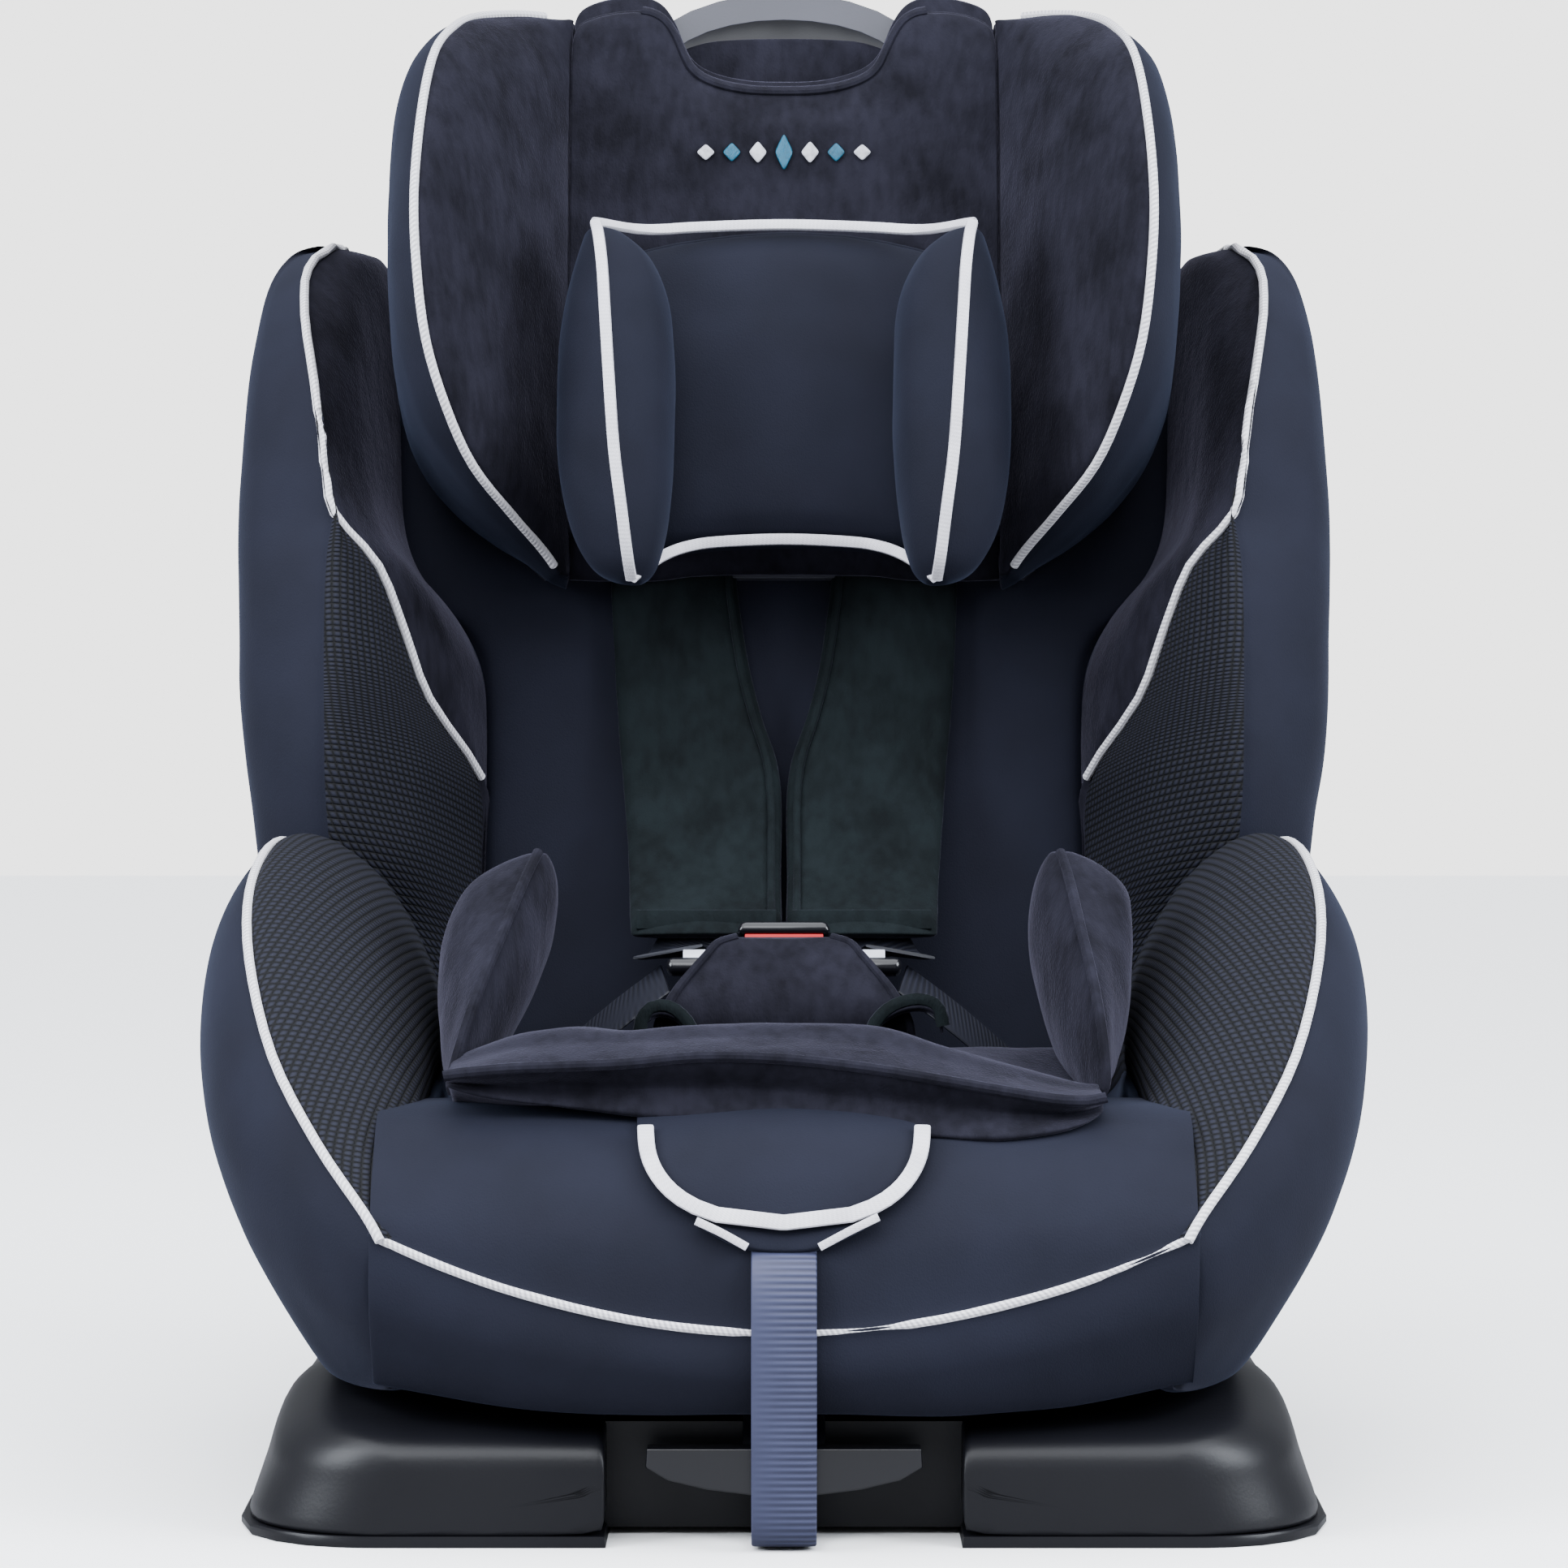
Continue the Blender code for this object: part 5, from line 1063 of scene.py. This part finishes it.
WEBBING, LAP_WEBBING, ADJUSTER_WEBBING, THICK = 0.038, 0.03, 0.025, 0.0016
meet = 0.0345  # distance from the middle at which the two shoulder straps run side by side
# The shoulder and lap straps use the darker copy of the webbing, which paints shade on them.
for side, word in SIDES:
    behind = [on_back(side * 0.047, 0.032, w) for w in (0.285, 0.323)]
    behind += [on_back(side * 0.047, 0.028, 0.3355), on_back(side * 0.047, -0.009, 0.3355)]
    down = [on_back(side * (meet + a), -0.01 - d, w) for a, d, w in (
        (0.013, 0.0032, 0.327), (0.0145, 0.0034, 0.29), (0.0145, 0.0036, 0.255), (0.0125, 0.004, 0.215),
        (0.0075, 0.008, 0.175), (0.0025, 0.018, 0.14), (0.0, 0.036, 0.108), (0.0, 0.053, 0.088))]
    ends = [Vector((side * 0.043, 0.048, 0.212)), Vector((side * 0.051, 0.037, 0.214))]
    reach = belt(
        f"shoulder_webbing_{word}", behind + down + ends, WEBBING, (1, 0, 0), [f"shoulder_strap_{word}"],
        painted_shade_webbing,
    )
    lap = [
        (0.052, 0.038, 0.202), (0.064, 0.04, 0.193), (0.08, 0.048, 0.18), (0.1, 0.06, 0.162),
        (0.118, 0.07, 0.144),
    ]
    belt(
        f"lap_webbing_{word}", mirrored(side, lap), LAP_WEBBING, (side * 0.1, 0.93, 0.36),
        [f"lap_strap_{word}"], painted_shade_webbing,
    )
free = [
    (0, -0.2115, 0.1178), (0, -0.23, 0.1178), (0, -0.248, 0.1172), (0, -0.258, 0.112), (0, -0.2625, 0.098),
    (0, -0.2635, 0.08), (0, -0.262, 0.058), (0, -0.258, 0.03), (0, -0.254, 0.01), (0, -0.249, 0.003),
    (0, -0.238, 0.0018), (0, -0.224, 0.006), (0, -0.216, 0.013),
]
free_length = belt("adjuster_webbing", free, ADJUSTER_WEBBING, (1, 0, 0), ["adjuster_strap"], webbing)
print("shoulder webbing", round(reach, 3), "m, free end", round(free_length, 3), "m")

# %% [markdown]
# ## Shoulder pads
#
# Two flat velour pads sleeve the shoulder straps. They part under the pillow and meet over the breastbone, so
# their piped inner edges draw a Y. The lower edge has a turned hem.

# %% Pads on the straps
shoulder_stations = (  # w, inner x, outer x, rear u, front u
    (0.269, 0.0215, 0.0785, -0.0145, -0.0215),
    (0.255, 0.021, 0.079, -0.015, -0.0245),
    (0.22, 0.016, 0.0775, -0.0155, -0.0262),
    (0.195, 0.0098, 0.0755, -0.0175, -0.028),
    (0.175, 0.0035, 0.0738, -0.0205, -0.0308),
    (0.155, 0.0012, 0.072, -0.0255, -0.036),
    (0.13, 0.0012, 0.0702, -0.035, -0.046),
    (0.108, 0.0012, 0.0688, -0.048, -0.059),
    (0.093, 0.0012, 0.068, -0.06, -0.0705),
    (0.085, 0.0014, 0.0674, -0.0665, -0.0752),
)


def shoulder_ring(station):
    """Section points of a shoulder pad, from the rear inner edge over the front to the rear outer edge."""
    w, in_x, out_x, rear, front = station
    wide = out_x - in_x
    ring = [
        (in_x + 0.1 * wide, rear), (in_x, 0.55 * rear + 0.45 * front),
        (in_x + 0.07 * wide, 0.12 * rear + 0.88 * front),
        (in_x + 0.28 * wide, front - 0.001), (in_x + 0.5 * wide, front - 0.0018),
        (in_x + 0.72 * wide, front - 0.001),
        (in_x + 0.93 * wide, 0.14 * rear + 0.86 * front), (out_x, 0.55 * rear + 0.45 * front),
        (out_x - 0.1 * wide, rear), (in_x + 0.5 * wide, rear),
    ]
    return [(x, u, w) for x, u in ring]


HEM_INNER, HEM_REACH = 0.0035, 0.0615  # where the hem starts, and how far it runs outwards
for side, word in SIDES:
    rings = [shoulder_ring(station) for station in shoulder_stations]
    lines = sewn_pad(
        f"shoulder_pad_cover_{word}", guides_on_back(rings, side), [pad_velour] * 10, "seat",
        seams=(2, 7), replaced=[f"shoulder_pad_{word}"], ripple=0.0006, draw_in=0.0009,
    )
    cord(f"shoulder_piping_{word}", lines[2], lift=0.0008, radius=0.0018, material=pad_velour)
    out = lean_direction(-1, 0)
    foot = [(on_back(side * (HEM_INNER + HEM_REACH * k / 12), -0.0722, 0.0925), out) for k in range(13)]
    tape(f"shoulder_hem_{word}", foot, 0.0046, 0.0011, pad_velour, "seat", square=0.6)
print("shoulder pads:", pads_made[-2:])

# %% [markdown]
# ## Crotch pad and buckle
#
# The buckle stands on the crotch strap. Its black housing hoods a red button, and a velour pad in front of it
# spreads towards the seat, where its lower corners curl forward.

# %% Crotch pad
crotch_stations = (  # z, half width, y of the middle, how far the sides curl forward
    (0.164, 0.052, -0.033, 0.0),
    (0.178, 0.054, -0.037, 0.004),
    (0.188, 0.053, -0.039, 0.008),
    (0.196, 0.049, -0.038, 0.006),
    (0.202, 0.045, -0.0355, 0.003),
    (0.209, 0.039, -0.0305, 0.001),
    (0.216, 0.0325, -0.024, 0.0),
    (0.2205, 0.028, -0.0195, 0.0),
    (0.2228, 0.02, -0.0165, 0.0),
)
CROTCH_THICK = 0.01
rings = []
for z, half, y, curl in crotch_stations:
    rear_y = y + CROTCH_THICK
    front = [
        (-half, y - curl), (-0.8 * half, y - 0.35 * curl - 0.001), (-0.5 * half, y - 0.002), (0.0, y - 0.0035)
    ]
    rear = [(0.5 * half, rear_y), (0.0, rear_y), (-0.5 * half, rear_y)]
    edges = [(half - 0.001, y - curl + 0.006), *rear, (-half + 0.001, y - curl + 0.006)]
    ring = front + [(-x, v) for x, v in reversed(front[:-1])] + edges
    rings.append([(x, v, z) for x, v in ring])
lines = sewn_pad(
    "crotch_pad_cover", guides_of(rings), [velour] * len(rings[0]), "seat", seams=(0, 6),
    replaced=["crotch_pad"], ripple=0.0009, draw_in=0.0008,
)
for seam, word in ((0, "left"), (6, "right")):
    cord(f"crotch_piping_{word}", lines[seam][3:], lift=0.0004, radius=0.0019, material=velour)
curls = {  # the curled lower corners, as (x, z)
    "left": [
        (-0.0605, 0.183), (-0.06, 0.19), (-0.056, 0.1955), (-0.049, 0.1962), (-0.043, 0.1925),
        (-0.039, 0.187), (-0.0365, 0.18),
    ],
    "right": [
        (0.0355, 0.18), (0.0375, 0.188), (0.043, 0.1945), (0.05, 0.198), (0.058, 0.199), (0.0645, 0.196),
        (0.067, 0.188),
    ],
}
lobe_section = ((-0.0545, 0.0015), (-0.033, 0.003), (-0.033, 0.006), (-0.0545, 0.0045))  # y, drop
for word, arc in curls.items():
    out = Vector((0.0, -0.9, 0.4)).normalized()
    line = [(p, out) for p in even_path([(x, -0.056 + 0.1 * (z - 0.19), z) for x, z in arc], 0.0035)]
    tape(f"crotch_curl_{word}", line, 0.003, 0.0022, pad_velour, "seat")
    rings = [[(x, y, z - drop) for y, drop in lobe_section] for x, z in arc]
    sewn_pad(
        f"crotch_lobe_{word}", guides_of(rings), [velour] * 4, "seat", steps=2, ripple=0.0003,
    )
print("crotch pad made")

# %% Buckle
BUCKLE_PLACE = Matrix.Translation((0.0, 0.018, 0.206)) @ Matrix.Rotation(math.radians(-25), 4, "X")


def rounded_block(name, low, high, bevel, material, body="seat", replaced=(), taper=1.0):
    """A block with rounded edges in the buckle's tilted frame. Taper narrows its top."""
    bm = bmesh.new()
    bmesh.ops.create_cube(bm, size=1.0)
    low, high = Vector(low), Vector(high)
    bmesh.ops.scale(bm, vec=high - low, verts=bm.verts)
    bmesh.ops.translate(bm, vec=(low + high) / 2, verts=bm.verts)
    for vert in bm.verts:
        if vert.co.z > (low.z + high.z) / 2:
            vert.co.x *= taper
    bmesh.ops.bevel(bm, geom=bm.edges, offset=bevel, segments=4, profile=0.5, affect="EDGES", material=-1)
    bmesh.ops.transform(bm, matrix=BUCKLE_PLACE, verts=bm.verts)
    bmesh.ops.recalc_face_normals(bm, faces=bm.faces)
    return finish_piece(name, bm, [material], body, 0, replaced)


housing = (  # name, low, high, bevel, taper, nodes it stands for
    ("buckle_body", (-0.031, -0.0135, -0.026), (0.031, 0.012, 0.0104), 0.0045, 0.66, ["buckle_housing"]),
    ("buckle_neck", (-0.0165, 0.001, 0.006), (0.0165, 0.0105, 0.014), 0.001, 1.0, ()),
    ("buckle_hood", (-0.0205, -0.015, 0.0128), (0.0205, 0.011, 0.0186), 0.0024, 0.92, ()),
)
for name, low, high, bevel, taper, nodes in housing:
    rounded_block(name, low, high, bevel, gloss_plastic, replaced=nodes, taper=taper)
rounded_block(
    "release_key", (-0.017, -0.0138, 0.0106), (0.017, -0.004, 0.0126), 0.0004, red_plastic,
    "buckle_button", ["buckle_button"],
)
for side, word in SIDES:
    left, right = sorted((side * 0.0285, side * 0.044))
    rounded_block(
        f"tongue_blade_{word}", (left, -0.003, 0.004), (right, -0.0012, 0.0098), 0.0005, steel,
        replaced=[f"tongue_{word}"],
    )
    left, right = sorted((side * 0.028, side * 0.051))
    rounded_block(
        f"tongue_grip_{word}", (left, -0.006, -0.0016), (right, 0.003, 0.0056), 0.003, gloss_plastic,
    )
print("buckle made")

# %% [markdown]
# ## Seat insert
#
# The insert makes the seat smaller for a young child. It is one velour mat with a rolled front lip that hangs
# over the seat's edge, and a lens-shaped wing at each side. It lies a little askew, as a loose mat does.

# %% Insert mat
insert_stations = (  # x, edge z, crest z, lowest z
    (-0.132, 0.18, 0.183, 0.174),
    (-0.124, 0.1815, 0.187, 0.1715),
    (-0.105, 0.1835, 0.193, 0.168),
    (-0.082, 0.1845, 0.196, 0.1655),
    (-0.06, 0.1855, 0.195, 0.1635),
    (-0.033, 0.188, 0.1975, 0.1615),
    (0.0, 0.1872, 0.198, 0.1595),
    (0.033, 0.1835, 0.1965, 0.157),
    (0.06, 0.179, 0.19, 0.1555),
    (0.085, 0.1745, 0.183, 0.155),
    (0.105, 0.1712, 0.1775, 0.157),
    (0.118, 0.1705, 0.1745, 0.16),
    (0.1255, 0.172, 0.174, 0.164),
)
rings = []
for x, edge, crest, low in insert_stations:
    hang = -0.212 - max(0.0, 0.164 - low) * 1.2
    ring = [
        (-0.217, edge - 0.001), (-0.193, 0.45 * edge + 0.55 * crest), (-0.178, crest),
        (-0.145, crest - 0.004),
        (-0.1, 0.182), (-0.05, 0.173), (-0.046, 0.165), (-0.1, 0.1625), (-0.16, 0.1625),
        (hang + 0.01, low + 0.001), (hang, low + 0.002), (0.5 * hang - 0.101, 0.5 * (edge + low)),
    ]
    rings.append([(x, y, z) for y, z in ring])
lines = sewn_pad(
    "insert_mat", guides_of(rings), [velour] * 12, "seat", seams=(0,), steps=3,
    replaced=["seat_insert"], ripple=0.0016, draw_in=0.0012,
)
cord("insert_piping", lines[0], lift=0.0008, radius=0.0023, material=velour)
print("insert mat made")

# %% Insert wings
insert_wing_stations = (  # z, edge x, edge y, outer x, inner x, rear y
    (0.169, 0.1295, -0.184, 0.133, 0.126, -0.12),
    (0.176, 0.131, -0.187, 0.1375, 0.118, -0.088),
    (0.195, 0.1262, -0.179, 0.1408, 0.107, -0.062),
    (0.215, 0.1195, -0.163, 0.1412, 0.099, -0.055),
    (0.232, 0.113, -0.144, 0.1385, 0.095, -0.058),
    (0.247, 0.1075, -0.124, 0.131, 0.094, -0.07),
    (0.257, 0.1035, -0.108, 0.118, 0.0955, -0.084),
    (0.262, 0.101, -0.1, 0.105, 0.098, -0.092),
)


def insert_wing_ring(station, side):
    """Section points of an insert wing. The one on the right leans in a little at its foot."""
    z, edge_x, edge_y, out_x, in_x, rear = station
    upright = 0.0 if side < 0 else -0.0055 + 0.018 * (z - 0.169) / 0.093
    outside, inside, deep = out_x - edge_x, edge_x - in_x, edge_y - rear
    ring = [
        (edge_x, edge_y), (edge_x + 0.45 * outside, edge_y - 0.16 * deep),
        (edge_x + 0.9 * outside, edge_y - 0.4 * deep),
        (out_x, edge_y - 0.68 * deep), (edge_x + 0.5 * outside, rear), (in_x + 0.5 * inside, rear),
        (in_x, edge_y - 0.7 * deep), (in_x + 0.12 * inside, edge_y - 0.4 * deep),
        (in_x + 0.55 * inside, edge_y - 0.15 * deep),
    ]
    return [(side * min(x + upright, 0.1415), y, z) for x, y in ring]


for side, word in SIDES:
    rings = [insert_wing_ring(station, side) for station in insert_wing_stations]
    lines = sewn_pad(
        f"insert_wing_cover_{word}", guides_of(rings), [velour] * 9, "seat", seams=(0,),
        replaced=[f"insert_wing_{word}"], ripple=0.0014, draw_in=0.001,
    )
    cord(f"insert_wing_piping_{word}", lines[0][2:], radius=0.0022, material=velour)
print("insert wings:", pads_made[-2:])

# %% [markdown]
# ## Adjuster flap
#
# A small flap covers the harness adjuster and lifts about its top edge. White tape binds its sides and round
# bottom, and a generic embroidered motif of small diamonds sits in its middle.

# %% Flap
FLAP_HALF, STRAIGHT = 0.0545, 0.42  # half width, and the share of the length above the round end
flap_path = even_path(
    [(0, -0.2, 0.1668), (0, -0.215, 0.1632), (0, -0.231, 0.154), (0, -0.2435, 0.141), (0, -0.252, 0.1255)],
    0.003,
)
flap_rows = []
for i, point in enumerate(flap_path):
    share = i / (len(flap_path) - 1)
    rounding = (max(0.0, share - STRAIGHT) / (1 - STRAIGHT)) ** 2.6
    half = FLAP_HALF * max(1 - rounding, 0.0) ** 0.42 + 0.003 * max(0.0, 0.5 - share)
    before, after = flap_path[max(i - 1, 0)], flap_path[min(i + 1, len(flap_path) - 1)]
    normal = (after - before).cross(Vector((1, 0, 0))).normalized()
    normal = -normal if normal.y > 0 else normal
    flap_rows.append((point, max(half, 0.002), normal))
flap_section = (  # share of the half width, height off the flap's middle surface
    (-1, 0), (-0.96, 0.0012), (-0.5, 0.0026), (0, 0.0032), (0.5, 0.0026), (0.96, 0.0012), (1, 0),
    (0.6, -0.0012), (-0.6, -0.0012),
)
guides = []
for share, out in flap_section:
    guides.append([])
    for p, half, n in flap_rows:
        sweep = 0.004 * (share * half / 0.055) ** 2
        guides[-1].append(p + Vector((share * half, sweep, 0)) + n * out)
sewn_pad(
    "flap_cover", guides, [jersey] * 9, "adjuster_flap", steps=1, replaced=["adjuster_flap"],
    ripple=0.0003,
)
rim = []
for sign, rows in ((-1, flap_rows), (1, flap_rows[::-1])):
    for p, half, n in rows:
        rim.append((p + Vector((sign * (half - 0.0012), 0.004 * (half / 0.055) ** 2, 0)) + n * 0.0012, n))
BINDING_TOP = 0.16  # the binding ends here, clear of the mat when the flap lifts
rim = [(p, n) for p, n in rim if p.z < BINDING_TOP]
tape("flap_binding", rim, 0.0032, 0.001, binding, "adjuster_flap", 0.0024, square=0.5)
under_stations = (  # x, top z, lowest z
    (-0.034, 0.129, 0.1262), (-0.023, 0.128, 0.12), (-0.012, 0.1275, 0.1165), (0.0, 0.1275, 0.1158),
    (0.012, 0.1275, 0.1165), (0.024, 0.1285, 0.121), (0.036, 0.13, 0.1272),
)
rings = []
for x, top, low in under_stations:
    ring = ((-0.247, top), (-0.2512, top - 0.001), (-0.2556, low + 0.001), (-0.2515, low))
    rings.append([(x, y, z) for y, z in ring])
sewn_pad(
    "flap_under_layer", guides_of(rings), [jersey] * 4, "adjuster_flap", steps=2, ripple=0.0002,
)
bands = {  # where each band runs, as (x, z)
    "left": ((-0.0335, 0.1275), (-0.024, 0.1232), (-0.014, 0.1178)),
    "right": ((0.036, 0.129), (0.025, 0.1238), (0.0135, 0.1178)),
}
for word, ends in bands.items():
    out = Vector((0.0, -1.0, 0.1)).normalized()
    path = even_path([(x, -0.2538 - 0.0014 * k, z) for k, (x, z) in enumerate(ends)], 0.003)
    line = [(p, out) for p in path]
    tape(f"flap_band_{word}", line, 0.0016, 0.0009, binding, "adjuster_flap", 0.0008, square=0.6)
print("flap made,", len(flap_rows), "rows")

# %% [markdown]
# ## Embroidered motifs
#
# A plain row of small lozenges is stitched on the flap and on the head panel. It is satin stitch: raised a
# little, with fine parallel threads that catch the light.

# %% Lozenges
def make_thread(name, colour):
    """Satin-stitched thread: fine parallel ridges."""
    material, shader = plain_material(name, colour, 0.35)
    tree = material.node_tree
    threads = use_group(tree, grain, {"Fine": 2600.0, "Coarse": 260.0, "Stretch": 0.12})
    dark = tuple(0.6 * c for c in colour)
    tree.links.new(tone(tree, threads.outputs["Cloud"], dark, colour, 0.3, 0.6), shader.inputs["Base Color"])
    bump(tree, shader, threads.outputs["Height"], 0.6, 0.0004)
    shader.inputs["Specular IOR Level"].default_value = 0.3
    return material


teal_thread = make_thread("teal_thread", (0.0005, 0.07, 0.125))
white_thread = make_thread("white_thread", (0.42, 0.42, 0.46))


def lozenge(name, place, up, half_wide, half_tall, material, body):
    """A raised four-cornered patch with a rounded edge."""
    across, up = Vector((1, 0, 0)), Vector(up).normalized()
    out = across.cross(up).normalized()
    bm = bmesh.new()
    bmesh.ops.create_circle(bm, cap_ends=True, segments=4, radius=1.0)
    bmesh.ops.subdivide_edges(bm, edges=bm.edges, cuts=2, use_grid_fill=True)
    faces = list(bm.faces)
    made = bmesh.ops.extrude_face_region(bm, geom=faces + list({e for f in faces for e in f.edges}))
    for item in made["geom"]:
        if isinstance(item, bmesh.types.BMVert):
            item.co = Vector((item.co.x * 0.86, item.co.y * 0.86, 1.0))
    for vert in bm.verts:
        x, y, z = vert.co
        flat = Vector(place) + across * (x * half_wide) + up * (y * half_tall)
        vert.co = flat + out * (z * 0.0007 - 0.0003)
    bmesh.ops.recalc_face_normals(bm, faces=bm.faces)
    return finish_piece(name, bm, [material], body, 1)


def motif(name, reach, pitch, place, up, half_wide, heights, body):
    """A row of lozenges in two colours by turns: a tall one in the middle, and reach more on each side."""
    tall, short, fall = heights
    for k in range(-reach, reach + 1):
        half_tall = tall if k == 0 else short - fall * abs(k)
        kind = teal_thread if k % 2 == 0 else white_thread
        spot = Vector(place) + Vector((pitch * k, 0, 0))
        lozenge(f"{name}_{k + reach}", spot, up, half_wide, half_tall, kind, body)


motif(
    "head_lozenge", 3, 0.012, on_back(0, -0.0532, 0.456), lean_direction(0, 1), 0.0048,
    (0.0105, 0.007, 0.0008), "headrest",
)
motif(
    "flap_lozenge", 2, 0.0075, (0, -0.2425, 0.145), (0.0, 0.55, 0.84), 0.003, (0.0062, 0.0042, 0.0006),
    "adjuster_flap",
)
print("motifs stitched")

# %% [markdown]
# ## Hard parts
#
# The moulded and metal parts already have their true shapes, but their edges are knife sharp. Each is
# copied, its flat faces are joined, and its edges get the small radius that a mould or a press leaves. That
# thin bright line along an edge is what makes plastic look moulded.

# %% Rounded copies
def rounded_copy(node, radius, material):
    """The node's form with rounded edges, riding where the node rides."""
    source = frame["nodes"][node]
    bm = bmesh.new()
    bm.from_mesh(source.data)
    bmesh.ops.remove_doubles(bm, verts=bm.verts, dist=WELD)
    bmesh.ops.dissolve_limit(bm, angle_limit=math.radians(1.5), verts=bm.verts, edges=bm.edges)
    bmesh.ops.recalc_face_normals(bm, faces=bm.faces)
    obj = finish_piece(f"{node}_moulded", bm, [material], source["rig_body"], 0, [node])
    edges = obj.modifiers.new("edges", "BEVEL")
    edges.width, edges.segments, edges.limit_method = radius, 3, "ANGLE"
    edges.angle_limit = CREASE
    edges.harden_normals = True
    return obj


finishes = (  # finish, record slot, edge radius, nodes
    (base_plastic, "base_plastic", 0.0006, ("base_rail_left", "base_rail_right")),
    (shell_plastic, "shell_plastic", 0.0016, ("seat_shell", "back_shell")),
    (shell_plastic, "shell_plastic", 0.0008, (
        "seat_runner_left", "seat_runner_right", "belt_guide_left", "belt_guide_right")),
    (gloss_plastic, "gloss_plastic", 0.0012, (
        "recline_lever", "adjuster_bezel", "adjuster_housing", "adjuster_button")),
    (handle_plastic, "grey_plastic", 0.002, ("headrest_shell",)),
    (grey_plastic, "grey_plastic", 0.0012, ("headrest_release",)),
    (steel, "steel", 0.0004, (
        "recline_rack", "recline_pull_rod", "recline_latch", "lever_spring", "back_bolt_left",
        "back_bolt_right", "release_rod", "latch_pin", "harness_yoke", "crotch_anchor")),
    # The crotch and yoke straps use the darker webbing copy: painted shade.
    (painted_shade_webbing, "webbing", 0.0003, ("crotch_strap", "yoke_strap")),
)
for material, slot, radius, nodes in finishes:
    for node in nodes:
        rounded_copy(node, radius, material)
print("hard parts rounded:", sum(len(nodes) for _, _, _, nodes in finishes))
